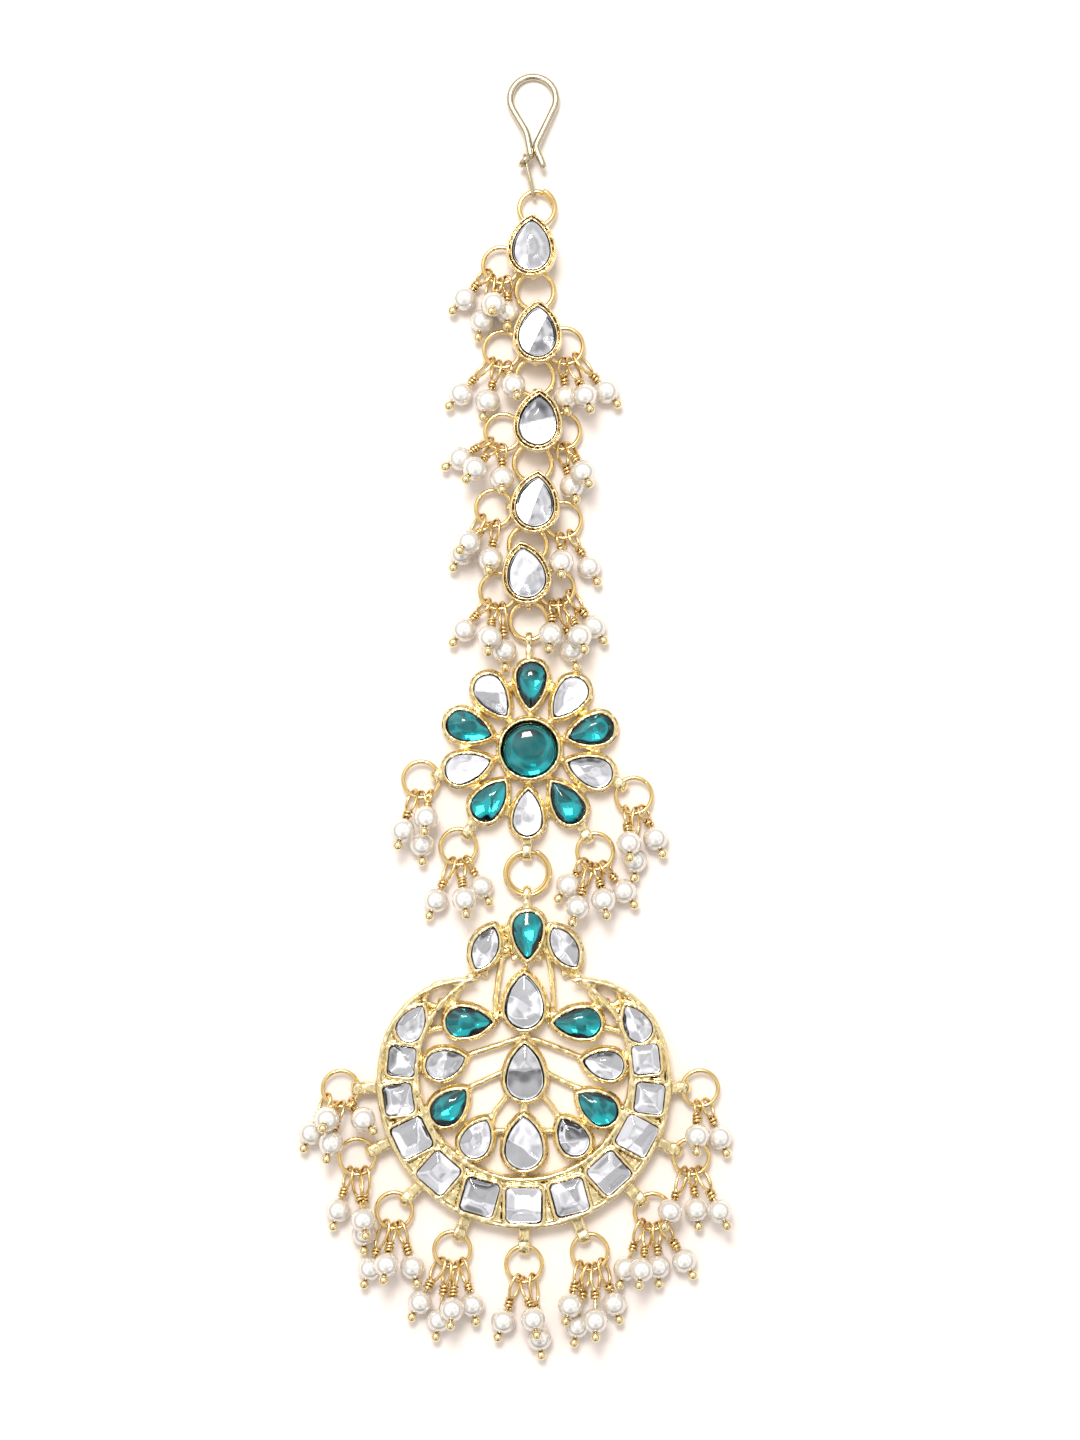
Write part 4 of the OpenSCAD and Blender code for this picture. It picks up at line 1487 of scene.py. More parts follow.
@dataclass
class Pin:
    """Ball headed pin: up through a pearl, round the jump ring, and wrapped round its own neck.

    Args:
        bunch: the ring that it hangs on.
        drop: its own row of the table.
        random: source of small differences.
    """

    bunch: Bunch
    drop: Drop
    random: np.random.Generator

    def __post_init__(self) -> None:
        """Works out where the pin runs."""
        bunch, drop = self.bunch, self.drop
        middle = np.array([bunch.x, bunch.y, RING_Z])
        wire = middle + np.array([*polar(DROP_RING_R, drop.loop), 0.0])
        self.pearl = np.array([bunch.x + drop.x, bunch.y + drop.y, drop.height])
        self.eye = wire + 0.05 * unit(self.pearl - wire)
        level = self.pearl - self.eye
        if drop.lift:
            a = math.radians(drop.lift)
            flat = unit(level * [1, 1, 0])
            self.axis = flat * math.cos(a) + Z * math.sin(a)
            self.bend = self.pearl - (PEARL_R + BENT_NECK_GAP) * self.axis
        else:
            self.axis = unit(level)
            self.bend = self.pearl - (PEARL_R + NECK_GAP) * self.axis
        self.neck = unit(self.bend - self.eye)
        tangent = np.array([*polar(1.0, drop.loop + 90), 0.0])
        self.side = unit(tangent - (tangent @ self.neck) * self.neck)
        self.across = np.cross(self.side, self.neck)
        self.lean = LOOP_LEAN if bunch.x > 0 else -LOOP_LEAN

    def wind(self, shell: Shell) -> None:
        """Adds the wire, its loop, its wrapped neck and its ball.

        Args:
            shell: where they go.
        """
        ball = self.pearl + (PEARL_R + PIN_BALL_R - BALL_SEAT) * self.axis
        ball[2] = np.clip(ball[2], PIN_BALL_R + LIFT, TOP_Z - PIN_BALL_R)
        wire = PIN_WIRE_R * self.random.uniform(1.05, 1.2)
        lean = math.radians(self.lean + self.random.uniform(-8, 8))
        across = math.cos(lean) * self.across + math.sin(lean) * self.side
        back = PIN_LOOP_R * self.random.uniform(0.98, 1.1)
        wide = PIN_LOOP_R * self.random.uniform(0.9, 1.1)
        length = np.linalg.norm(self.bend - self.eye)
        wraps = self.random.uniform(0.65, 1.1)
        first = min(max(length - wraps - 0.05, 1.0), self.random.uniform(2.0, 2.7))
        last = max(min(first + wraps, length - 0.05), first + 0.35)
        stem = [self.bend + (self.eye - self.bend) * s for s in (0.04, 0.3, 0.6)]
        stem = [p for p in stem if np.linalg.norm(p - self.eye) > first + 0.1]
        angles = np.radians(np.linspace(25, 328, 30))
        long, heart = (first + back) / 2, self.eye + (first - back) / 2 * self.neck
        loop = heart + np.outer(np.cos(angles) * long, self.neck) + np.outer(np.sin(angles) * wide, across)
        turns = (last - first) / (2.05 * wire)
        angles = np.radians(np.linspace(-40, 360 * turns - 40, max(int(12 * turns), 6)))
        coil = self.eye + np.outer(np.linspace(first, last, len(angles)), self.neck)
        other = np.cross(self.neck, across)
        coil = coil + 2.1 * wire * (np.outer(-np.cos(angles), across) - np.outer(np.sin(angles), other))
        shaft = [ball, self.pearl, self.pearl - PEARL_R * 0.8 * self.axis, self.bend]
        path = np.vstack([*shaft, *stem, self.eye + self.neck * first, loop, coil])
        path[:, 2] = np.maximum(path[:, 2], wire + LIFT)
        shell.wire(path, wire, 8)
        angles = np.linspace(0.2, math.pi - 0.2, 9)
        profile = PIN_BALL_R * np.column_stack([-np.cos(angles), np.sin(angles)])
        shell.lathe(ball, self.axis, profile, 14, False, 1)

    def thread(self, shell: Shell) -> None:
        """Adds the pearl, a bored ball.

        Args:
            shell: where it goes.
        """
        bore = math.asin(BORE_R / PEARL_R)
        long, wide = self.random.uniform(0.94, 1.0), self.random.uniform(0.97, 1.0)
        angles = np.linspace(bore, math.pi - bore, 19)
        outer = [(-PEARL_R * long * math.cos(a), PEARL_R * wide * math.sin(a)) for a in angles]
        outer[0], outer[-1] = (outer[0][0] + 0.04, BORE_R), (outer[-1][0] - 0.04, BORE_R)
        inner = [(outer[-1][0] * s, BORE_R * 0.92) for s in (0.85, 0.0, -0.85)]
        shell.lathe(self.pearl, self.axis, np.array(outer + inner), 30, True)


@dataclass
class PearlBunches:
    """All bunches of one part of the jewel: their rings, pins and pearls.

    Args:
        part: chain, flower or pendant.
        bunches: the bunches.
        seed: seed of the small differences.
    """

    part: str
    bunches: list[Bunch]
    seed: int

    def build(self, finishes: Finishes) -> list[bpy.types.Object]:
        """Makes the pieces.

        Args:
            finishes: the jewel's materials.

        Returns:
            Rings, pins and pearls.
        """
        random = np.random.default_rng(self.seed)
        splits = random.uniform(40, 140, len(self.bunches))
        rings = [(b.x, b.y, DROP_RING_R, DROP_WIRE_R, s) for b, s in zip(self.bunches, splits)]
        pins = [Pin(bunch, drop, random) for bunch in self.bunches for drop in bunch.drops]
        wires, pearls = Shell(), Shell()
        for pin in pins:
            pin.wind(wires)
            pin.thread(pearls)
        name = f"{self.part}_drop"
        return [
            *JumpRings(f"{name}_rings", rings).build(finishes),
            wires.piece(f"{name}_pins", [finishes.wire, finishes.cast], "gold_wire"),
            pearls.piece(f"{self.part}_pearls", [finishes.pearl], "pearl"),
        ]


# Cast pieces


@dataclass
class LinkSetting:
    """Closed pear setting of the chain, with its upright eyes.

    Args:
        number: its number from the hook down.
        x: place of the stone's widest line.
        y: place of the stone's widest line.
        turn: direction that its tip leans in, in degrees.
        rings: x, y and radius of the rings that it holds.
        stone: half width and tip height of its stone.
        stone_z: heights of the stone's foot, girdle and table.
        wall: how far the setting reaches past its stone.
        back: height of its back.
        bed: height at which its walls begin.
        rim: height of its rim.
        eye: hole, rim, thickness and underside of its eyes.
    """

    number: int
    x: float
    y: float
    turn: float
    rings: list[tuple[float, float, float]]
    stone: tuple[float, float] = (2.0, 3.4)
    stone_z: tuple[float, float, float] = (3.34, 4.2, 4.74)
    wall: float = 0.78
    back: float = 1.8
    bed: float = 2.5
    rim: float = 4.3
    eye: tuple[float, float, float, float] = (0.5, 0.38, 0.7, 0.55)

    def build(self, finishes: Finishes) -> list[bpy.types.Object]:
        """Makes the pieces.

        Args:
            finishes: the jewel's materials.

        Returns:
            Setting and stone.
        """
        outline = Outline(self.x, self.y, self.turn, Shape.PEAR, *self.stone)
        casting = Casting((self.x - 5.2, self.y - 5.2, -0.1), (self.x + 5.2, self.y + 6.4, 4.7), 0.09)
        edge = outline.distance(casting.x, casting.y)
        casting.slab(edge - self.wall + 0.14, self.back, self.bed + 0.2, edge=0.3, fillet=SOLDER)
        casting.slab(edge - 0.3, self.bed, 3.3, edge=0.1, fillet=SOLDER)
        wall = np.maximum(edge - self.wall, 0.05 - edge)
        casting.slab(wall, self.bed, self.rim, edge=0.2, fillet=0.1, taper=0.03)
        casting.bead(edge - self.wall + 0.16, 2.85, radius=0.2, fillet=0.1)
        casting.cut(np.abs(edge - 0.4) - 0.09, floor=self.rim - 0.35)
        root = np.array([self.x, self.y + 0.6])
        for ring in self.rings:
            casting.eye(nearest_eye(ring, root, self.eye, 1.1))
        setting = casting.piece(f"link_setting_{self.number}", finishes.cast, share=0.32, wobble=0.03)
        stone = Stones(f"link_stone_{self.number}", [(outline, LINK_CUT)], Glass.CLEAR, *self.stone_z)
        return [setting, *stone.build(finishes)]


PETALS = 10


@dataclass
class Flower:
    """Ten petals round a domed stone.

    Args:
        x: its centre.
        y: its centre.
        eyes: its upright eyes.
        reach: how far the petals' widest lines lie from the centre.
        petal: half width and tip height of a petal's stone.
        middle: radius of the domed stone.
        first: direction of the first petal, in degrees.
        plate: height of the back plate.
        bed: height at which the walls begin.
        seat: height of the stones' seats.
        rim: height of the petals' walls.
        spoke: first and last radius and half width of the webs between the middle and the petals.
        brace: radius, first and last angle from a petal, and half width of the webs from petal to petal.
    """

    x: float
    y: float
    eyes: list[Eye]
    reach: float = 8.05
    petal: tuple[float, float] = (1.55, 3.45)
    middle: float = 3.05
    first: float = 88.5
    plate: float = 1.0
    bed: float = 0.8
    seat: float = 1.8
    rim: float = 2.6
    spoke: tuple[float, float, float] = (3.1, 4.5, 0.42)
    brace: tuple[float, float, float, float] = (7.3, 13, 23, 0.62)

    def turn(self, number: int) -> float:
        """Direction of a petal."""
        return self.first + 360 / PETALS * number

    def outline(self, number: int) -> Outline:
        """Outline of a petal's stone."""
        at = polar(self.reach, self.turn(number))
        return Outline(self.x + at[0], self.y + at[1], self.turn(number) + 90, Shape.PEAR, *self.petal)

    def webs(self, x: np.ndarray, y: np.ndarray) -> np.ndarray:
        """Distance to the webs between the petals and the round frame.

        Args:
            x: places to measure from, from the flower's centre.
            y: places to measure from.

        Returns:
            One distance for each place.
        """
        near, far, thin = self.spoke
        middle, start, end, thick = self.brace
        webs = []
        for i in range(PETALS):
            a = self.turn(i)
            webs.append(path_distance(x, y, [tuple(polar(near, a)), tuple(polar(far, a))]) - thin)
            ends = [tuple(polar(middle, a + start)), tuple(polar(middle, a + end))]
            webs.append(path_distance(x, y, ends) - thick)
        return nearest(webs)

    def cast_frame(self, finishes: Finishes) -> bpy.types.Object:
        """Makes the gold frame.

        Args:
            finishes: the jewel's materials.

        Returns:
            The piece.
        """
        casting = Casting((self.x - 12.6, self.y - 13.6, -0.1), (self.x + 12.6, self.y + 13.4, 3.1), 0.1)
        x, y = casting.x - self.x, casting.y - self.y
        petals = nearest([self.outline(i).distance(casting.x, casting.y) for i in range(PETALS)])
        middle = np.hypot(x, y) - self.middle
        casting.slab(self.webs(x, y), 0.0, self.plate + 0.15, edge=0.3, fillet=SOLDER)
        casting.slab(nearest([petals - 0.46, middle - 0.5]), 0.0, self.plate, edge=0.25, fillet=0.2)
        casting.slab(nearest([petals - 0.2, middle - 0.2]), self.bed, self.seat, edge=0.1, fillet=SOLDER)
        wall = np.maximum(petals - 0.45, 0.04 - petals)
        casting.slab(wall, self.bed, self.rim, edge=0.16, fillet=0.12, taper=0.03)
        notch = 0.035 * np.cos(44 * np.arctan2(y, x))
        wall = np.maximum(middle - 0.46 + notch, 0.05 - middle)
        casting.slab(wall, self.bed, self.rim + 0.2, edge=0.17, fillet=0.12, taper=0.02)
        casting.bead(nearest([petals - 0.5, middle - 0.54]), self.plate + 0.05, radius=0.21, fillet=0.06)
        for eye in self.eyes:
            casting.eye(eye)
        return casting.piece("flower_frame", finishes.cast, share=0.3, wobble=0.045)

    def build(self, finishes: Finishes) -> list[bpy.types.Object]:
        """Makes the pieces.

        Args:
            finishes: the jewel's materials.

        Returns:
            Frame and stones.
        """
        pieces, foot = [self.cast_frame(finishes)], self.seat + 0.04
        for i in range(PETALS):
            glass = Glass.CLEAR if i % 2 else Glass.TEAL
            stone = Stones(f"petal_stone_{i + 1}", [(self.outline(i), PEAR_CUT)], glass, foot, 2.58, 3.09)
            pieces += stone.build(finishes)
        dome = Outline(self.x, self.y, 0.0, Shape.ROUND, self.middle)
        centre = Stones("flower_centre_stone", [(dome, DOME_CUT)], Glass.TEAL, foot, 2.5, 3.59)
        return pieces + centre.build(finishes)


# Stones of the pendant: x and y from the pendant's centre, length, width and direction of the tip
CROWN_DROP = (0.4, 16.2, 5.1, 3.2, 270)
CROWN_OVALS = [(-4.3, 14.8, 4.9, 2.6, 67), (4.5, 14.9, 4.9, 2.6, 121)]
CENTRE_PEARS = [(0.05, 8.9, 5.9, 4.1, 90), (0.10, 1.1, 6.1, 4.1, 90), (0.00, -6.8, 5.8, 4.1, 90)]
TEAL_LEAVES = [
    (-6.1, 6.6, 5.0, 3.2, 0), (5.9, 6.5, 5.1, 3.2, 180),
    (-8.2, -2.7, 4.7, 3.2, 45), (8.1, -2.8, 4.8, 3.2, 146),
]
CLEAR_LEAVES = [
    (-8.7, 2.0, 4.3, 3.0, 17), (8.8, 1.9, 4.4, 3.0, 170),
    (-5.2, -6.3, 4.4, 3.1, 62), (5.3, -6.1, 4.4, 3.1, 122),
]
BAND_PEARS = [(-12.35, 6.5, 4.3, 2.8, 60), (12.4, 6.5, 4.3, 2.8, 120)]
# Square stones of the band: direction from the lowest point, distance from the centre, width, depth and turn
BAND_SQUARES = [
    (0, 13.7, 3.9, 3.8, 0),
    (-21, 13.75, 3.7, 3.7, -16),
    (21.5, 13.8, 3.7, 3.7, 15),
    (-43, 13.85, 3.7, 3.7, -41),
    (43, 13.85, 3.7, 3.7, 42),
    (-63.5, 13.9, 3.7, 3.7, -64),
    (64.5, 13.9, 3.7, 3.7, 62),
    (-82, 14.05, 3.3, 3.1, -82),
    (82.5, 14.05, 3.3, 3.1, 84),
    (-99.5, 13.75, 3.2, 2.9, -96),
    (100.5, 13.75, 3.2, 2.9, 96),
]
# Ribs, arms, fills and braces: the points that each runs through or round, from the centre of the pendant
RIBS = [
    [(-2.3, 14.3), (-2.8, 11.8), (-3.2, 9.0), (-3.0, 7.0)],
    [(2.6, 14.3), (3.1, 11.8), (3.3, 9.0), (3.1, 7.0)],
    [(0, 4.9), (-2.7, 4.0), (-6.4, 2.8)],
    [(0.1, 4.9), (2.9, 4.0), (6.5, 2.5)],
    [(-1.8, 1.2), (-4.0, 0.2), (-6.2, -0.8)],
    [(2.0, 1.2), (4.2, 0.0), (6.2, -0.9)],
    [(-1.7, -1.4), (-3.2, -3.4), (-3.7, -4.4)],
    [(1.9, -1.4), (3.4, -3.2), (3.9, -4.2)],
    [(-3.6, -5.6), (-1.8, -5.6)],
    [(3.6, -5.6), (1.8, -5.6)],
    [(-7.8, 7.6), (-9.2, 8.8)],
    [(7.8, 7.6), (9.2, 8.8)],
    [(-8.0, 6.2), (-10.6, 5.6)],
    [(8.0, 6.2), (10.6, 5.6)],
    [(-10.2, 1.6), (-12, 1.2)],
    [(10.4, 1.6), (12, 1.4)],
    [(-9.6, -4.0), (-10.8, -5.0)],
    [(9.6, -4.0), (10.8, -5.0)],
    [(-6.0, -8.0), (-7.0, -9.4)],
    [(6.0, -8.0), (7.0, -9.4)],
    [(0, 6.2), (0, 3.8)],
    [(0, -1.8), (0, -4.2)],
    [(0, -9.2), (0, -11.2)],
]
ARMS = [
    [(-3.2, 13.9), (-5.3, 12.0), (-7.4, 10.3), (-8.2, 8.9)],
    [(3.4, 13.9), (5.5, 12.0), (7.5, 10.3), (8.3, 8.9)],
]
CROWN_FILLS = [
    [(-3.2, 17.0), (-1.2, 17.8), (-0.8, 14.2), (-3.0, 13.2)],
    [(3.4, 17.0), (2.0, 17.8), (1.6, 14.2), (3.2, 13.2)],
]
CROWN_BRACES = [[(-5.6, 12.9), (-4.4, 11.9)], [(5.8, 12.9), (4.6, 11.9)]]
CROWN_GRAINS = [
    (-2.0, 16.9), (-2.2, 15.7), (-1.9, 14.4), (-1.1, 13.6), (0.3, 12.9),
    (1.7, 13.6), (2.5, 14.5), (2.9, 15.8), (2.8, 17.0),
]
CROWN_OPENING = [
    (-7.3, 9.4), (-6.6, 10.5), (-4.9, 11.9), (-3.0, 13.4),
    (3.2, 13.4), (5.0, 11.9), (6.8, 10.5), (7.5, 9.4),
]
# Bosses between the centre pears: x, y and radius
CENTRE_BOSSES = [(0.05, 5.0, 0.65), (0.0, -3.1, 0.55)]
# Leaf holes under the shoulders: x, y, turn, half width and half length
LEAF_HOLES = [(-9.15, 9.65, 112, 1.0, 1.75), (8.95, 9.65, 68, 0.95, 1.5)]


@dataclass
class Pendant:
    """Round openwork pendant with a crown.

    Args:
        x: centre of the round outline.
        y: centre of the round outline.
        eyes: its upright eyes.
        radius: radius of the round outline.
        opening: radius of the round opening.
        raised: how far the opening's centre lies above the outline's.
        shoulder: radius of the two arcs of the shoulders.
        shoulder_at: distance and direction of the right one's centre.
        brow: height on the pendant above which its round outline ends.
        plate: height of the back plate.
        bed: height at which the walls begin.
        seat: height of the stones' seats.
        ground: height of the band between its stones.
        rim: height of the settings' walls.
        wall: how far a setting reaches past its stone.
    """

    x: float
    y: float
    eyes: list[Eye]
    radius: float = 16.4
    opening: float = 11.6
    raised: float = 1.0
    shoulder: float = 9.8
    shoulder_at: tuple[float, float] = (6.54, 15)
    brow: float = 4.25
    plate: float = 1.0
    bed: float = 0.8
    seat: float = 1.7
    ground: float = 2.2
    rim: float = 2.5
    wall: float = 0.47

    def pears(self, rows: list[tuple[float, ...]]) -> list[tuple[Outline, Cut]]:
        """Outlines and cuts of pear stones given by rows of a table."""
        return [(pear_row(self.x + x, self.y + y, *rest), PEAR_CUT) for x, y, *rest in rows]

    def ovals(self) -> list[tuple[Outline, Cut]]:
        """Outlines and cuts of the crown's pointed ovals.

        Returns:
            One outline and cut for each stone.
        """
        return [
            (Outline(self.x + x, self.y + y, turn - 90, Shape.OVAL, width / 2, length / 2), OVAL_CUT)
            for x, y, length, width, turn in CROWN_OVALS
        ]

    def squares(self) -> list[tuple[Outline, Cut]]:
        """Outlines and cuts of the band's square stones.

        Returns:
            One outline and cut for each stone.
        """
        found = []
        for way, far, width, depth, turn in BAND_SQUARES:
            at = polar(far, way - 90)
            outline = Outline(self.x + at[0], self.y + at[1], turn, Shape.CUSHION, width, depth)
            found.append((outline, SQUARE_CUT))
        return found

    def stones(self) -> list[Stones]:
        """Every stone of the pendant.

        Returns:
            The stones of each node.
        """
        groups = [("crown_drop_stone", self.pears([CROWN_DROP]), Glass.TEAL)]
        names = ("crown_oval_left", "crown_oval_right")
        groups += [(name, [row], Glass.CLEAR) for name, row in zip(names, self.ovals())]
        for stem, rows, glass in (
            ("centre_pear", CENTRE_PEARS, Glass.CLEAR),
            ("teal_leaf", TEAL_LEAVES, Glass.TEAL),
            ("clear_leaf", CLEAR_LEAVES, Glass.CLEAR),
        ):
            groups += [(f"{stem}_{i + 1}", [row], glass) for i, row in enumerate(self.pears(rows))]
        groups.append(("band_stones", self.pears(BAND_PEARS) + self.squares(), Glass.CLEAR))
        heights = (self.seat + 0.04, self.rim - 0.02, self.rim + 0.49)
        return [Stones(name, rows, glass, *heights) for name, rows, glass in groups]

    def cast_band(self, casting: Casting, edge: np.ndarray, opening: np.ndarray, leaves: np.ndarray) -> None:
        """Adds the raised band, with its outer rim, its uneven inner rim and the rims of the leaf holes.

        Args:
            casting: where they go.
            edge: distances to the pendant's outline.
            opening: distances to its opening.
            leaves: distances to its leaf holes.
        """
        ground = np.maximum.reduce([edge + 0.05, 0.1 - opening, 0.75 - leaves])
        casting.slab(ground, 0.5, self.ground, edge=0.2, fillet=0.05)
        rim = np.maximum(np.abs(edge + 0.29), -opening - 0.1)
        casting.bead(rim, self.ground, radius=0.31, fillet=0.1)
        casting.bead(leaves - 0.3, 1.1, radius=0.29, fillet=0.1)
        angle = np.arctan2(casting.y - self.y - self.raised, casting.x - self.x)
        waves = np.cos(37 * angle + 0.5) + np.cos(61 * angle + 2) + np.cos(83 * angle + 4)
        dents = 0.012 * waves + 0.16 * np.clip(waves - 2.0, 0, 1)
        rim = np.maximum(np.abs(opening - 0.33) + dents, edge + 0.2)
        casting.bead(rim, self.ground, radius=0.33, fillet=0.1)

    def cast_openwork(self, casting: Casting) -> None:
        """Adds the fills, ribs and arms that join the settings.

        Args:
            casting: where they go.
        """
        x, y = casting.x - self.x, casting.y - self.y
        fills = [polygon_distance(x, y, points) for points in CROWN_FILLS]
        fills += [path_distance(x, y, points) - 0.5 for points in CROWN_BRACES]
        fills += [np.hypot(x - bx, y - by) - r for bx, by, r in CENTRE_BOSSES]
        ribs = nearest([path_distance(x, y, points) - 0.34 for points in RIBS])
        arms = nearest([path_distance(x, y, points) - 0.52 for points in ARMS])
        casting.slab(nearest(fills), 0.0, 1.1, edge=0.2, fillet=0.15)
        casting.slab(ribs, 0.0, 1.3, edge=0.33, fillet=0.2)
        casting.slab(arms, 0.0, 1.5, edge=0.45, fillet=0.2)

    def cast_grains(self, casting: Casting) -> None:
        """Adds the balls at the ribs' ends and round the crown's drop.

        Args:
            casting: where they go.
        """
        for points in RIBS:
            for x, y in (points[0], points[-1]):
                casting.grain((self.x + x, self.y + y, 1.05), 0.42)
        for x, y in CROWN_GRAINS:
            casting.grain((self.x + x, self.y + y, 1.3), 0.4)

    def cast_frame(self, finishes: Finishes) -> bpy.types.Object:
        """Makes the gold frame.

        Args:
            finishes: the jewel's materials.

        Returns:
            The piece.
        """
        casting = Casting((self.x - 20.4, self.y - 20.2, -0.1), (self.x + 20.4, self.y + 22.3, 2.9), 0.115)
        x, y = casting.x - self.x, casting.y - self.y
        far, way = self.shoulder_at
        centres = (polar(far, way), polar(far, 180 - way))
        shoulders = [np.hypot(x - cx, y - cy) - self.shoulder for cx, cy in centres]
        edge = nearest([np.maximum(np.hypot(x, y) - self.radius, y - self.brow), *shoulders])
        opening = np.hypot(x, y - self.raised) - self.opening
        opening = nearest([opening, polygon_distance(x, y, CROWN_OPENING)])
        leaves = nearest([Outline(*row[:3], Shape.OVAL, *row[3:]).distance(x, y) for row in LEAF_HOLES])
        outlines = [row[0] for group in self.stones() for row in group.outlines]
        stones = nearest([outline.distance(casting.x, casting.y) for outline in outlines])
        band = np.maximum.reduce([edge, -opening, -leaves])
        casting.slab(nearest([band, stones - self.wall]), 0.0, self.plate, edge=0.2, fillet=SOLDER)
        self.cast_openwork(casting)
        self.cast_band(casting, edge, opening, leaves)
        casting.slab(stones - 0.2, self.bed, self.seat, edge=0.1, fillet=SOLDER)
        casting.cut(0.02 + stones, floor=self.seat)
        wall = np.maximum(stones - self.wall, 0.04 - stones)
        casting.slab(wall, self.bed, self.rim, edge=0.16, fillet=0.12, taper=0.02)
        casting.bead(stones - self.wall - 0.05, self.plate + 0.05, radius=0.19, fillet=0.06)
        crown = self.ovals() + self.pears([CROWN_DROP])
        crown = nearest([outline.distance(casting.x, casting.y) for outline, _ in crown])
        casting.bead(crown - self.wall - 0.05, 1.5, radius=0.22, fillet=0.1)
        self.cast_grains(casting)
        for eye in self.eyes:
            casting.eye(eye)
        return casting.piece("pendant_frame", finishes.cast, share=0.3, wobble=0.045)

    def build(self, finishes: Finishes) -> list[bpy.types.Object]:
        """Makes the pieces.

        Args:
            finishes: the jewel's materials.

        Returns:
            Frame and stones.
        """
        pieces = [self.cast_frame(finishes)]
        for group in self.stones():
            pieces += group.build(finishes)
        return pieces


# Studio

# Lighter and darker places of the light tent: direction, cosines of the angles from it at which the place
# begins and is full, and the light that it adds
TENT_PLACES = (
    ((-0.25, 0.50, 0.83), 0.82, 0.95, 0.55),
    ((0.0, 0.05, 1.0), 0.96, 0.995, -0.3),
    ((0.07, -0.47, 0.88), 0.92, 0.955, -0.66),
    ((0.05, -0.84, 0.54), 0.84, 0.95, -0.5),
    ((0.2, 0.14, 0.97), 0.975, 0.992, -0.36),
    ((-0.19, -0.09, 0.98), 0.978, 0.993, -0.3),
    ((0.44, 0.34, 0.83), 0.95, 0.98, -0.6),
    ((-0.54, -0.12, 0.83), 0.96, 0.985, -0.6),
    ((0.62, -0.25, 0.74), 0.96, 0.985, -0.6),
)


@dataclass
class Studio:
    """White table, soft light and a camera that looks straight down.

    Args:
        view_x: middle of the view.
        view_y: middle of the view.
        view_z: height of the plane that the view is measured in.
        view_length: length that the picture's long side shows.
        lens: focal length of the camera.
        table: half the table's side, in metres.
        paint: colour of the table.
        lamp_at: where the lamp hangs, in metres.
        lamp_size: the lamp's side in metres.
        lamp_power: the lamp's power in watts.
        lamp_colour: colour of the lamp's light.
        front_light: colour of the tent's light from the sides.
        top_light: colour of its light from above.
        level: heights between which the tent grows brighter, and its light below and above them.
        overhead: heights between which its colour turns into that of its light from above.
    """

    view_x: float = 2.667
    view_y: float = -0.61
    view_z: float = 1.5
    view_length: float = 160.0
    lens: float = 100.0
    table: float = 0.6
    paint: tuple[float, float, float] = (0.87, 0.795, 0.745)
    lamp_at: tuple[float, float, float] = (-0.06, 0.3, 0.6)
    lamp_size: float = 0.2
    lamp_power: float = 3.2
    lamp_colour: tuple[float, float, float] = (1.0, 0.99, 0.98)
    front_light: tuple[float, float, float] = (0.98, 0.99, 1.0)
    top_light: tuple[float, float, float] = (1.0, 0.97, 0.945)
    level: tuple[float, float, float, float] = (0.1, 0.66, 0.15, 1.25)
    overhead: tuple[float, float] = (0.5, 0.92)

    def lay_table(self) -> None:
        """Makes the table top."""
        s = self.table
        mesh = bpy.data.meshes.new("table_top")
        mesh.from_pydata([(-s, -s, 0), (s, -s, 0), (s, s, 0), (-s, s, 0)], [], [(0, 1, 2, 3)])
        coat = Coat("white_table")
        coat.set(Base_Color=(*self.paint, 1.0), Roughness=0.7)
        mesh.materials.append(coat.material)
        table = put("table_top", mesh)

    def hang_lamp(self) -> None:
        """Makes the square lamp, which faces the jewel."""
        light = bpy.data.lights.new("key_lamp", "AREA")
        light.size, light.energy, light.color = self.lamp_size, self.lamp_power, self.lamp_colour
        lamp = put("key_lamp", light)
        lamp.location = self.lamp_at
        lamp.rotation_euler = (-Vector(self.lamp_at)).to_track_quat("-Z", "Y").to_euler()

    def wrap_room(self) -> None:
        """Makes the soft tent round the table, brighter overhead, with lighter and darker places."""
        world = bpy.data.worlds.new("light_tent")
        bpy.context.scene.world = world
        world.use_nodes = True
        nodes = Nodes(world.node_tree)
        sky, end = nodes.add("ShaderNodeBackground"), nodes.add("ShaderNodeOutputWorld")
        way = nodes.add("ShaderNodeTexCoord").outputs["Generated"]
        split = nodes.add("ShaderNodeSeparateXYZ")
        nodes.link(way, split.inputs[0])
        height = split.outputs["Z"]
        level = nodes.step(height, *self.level)
        for toward, near, far, added in TENT_PLACES:
            dot = nodes.add("ShaderNodeVectorMath", operation="DOT_PRODUCT")
            nodes.link(way, dot.inputs[0])
            dot.inputs[1].default_value = unit(np.array(toward))
            level = nodes.math("ADD", nodes.step(dot.outputs["Value"], near, far, 0.0, added), level)
        nodes.link(nodes.math("MAXIMUM", level, 0.02), sky.inputs["Strength"])
        overhead = nodes.step(height, *self.overhead)
        nodes.link(nodes.mix(overhead, self.front_light, self.top_light), sky.inputs["Color"])
        nodes.link(sky.outputs["Background"], end.inputs["Surface"])

    def set_camera(self) -> None:
        """Makes the camera."""
        data = bpy.data.cameras.new("camera")
        data.lens = self.lens
        height = self.view_length * self.lens / data.sensor_width + self.view_z
        camera = put("camera", data)
        camera.location = (self.view_x * MM, self.view_y * MM, height * MM)
        bpy.context.scene.camera = camera

    def build(self) -> None:
        """Sets the whole studio up."""
        self.lay_table()
        self.wrap_room()
        self.hang_lamp()
        self.set_camera()
        bpy.context.scene.view_settings.view_transform = "Standard"


# The jewel

FLOWER_AT = np.array([1.5, -3.83])
PENDANT_AT = np.array([0.89, -40.72])
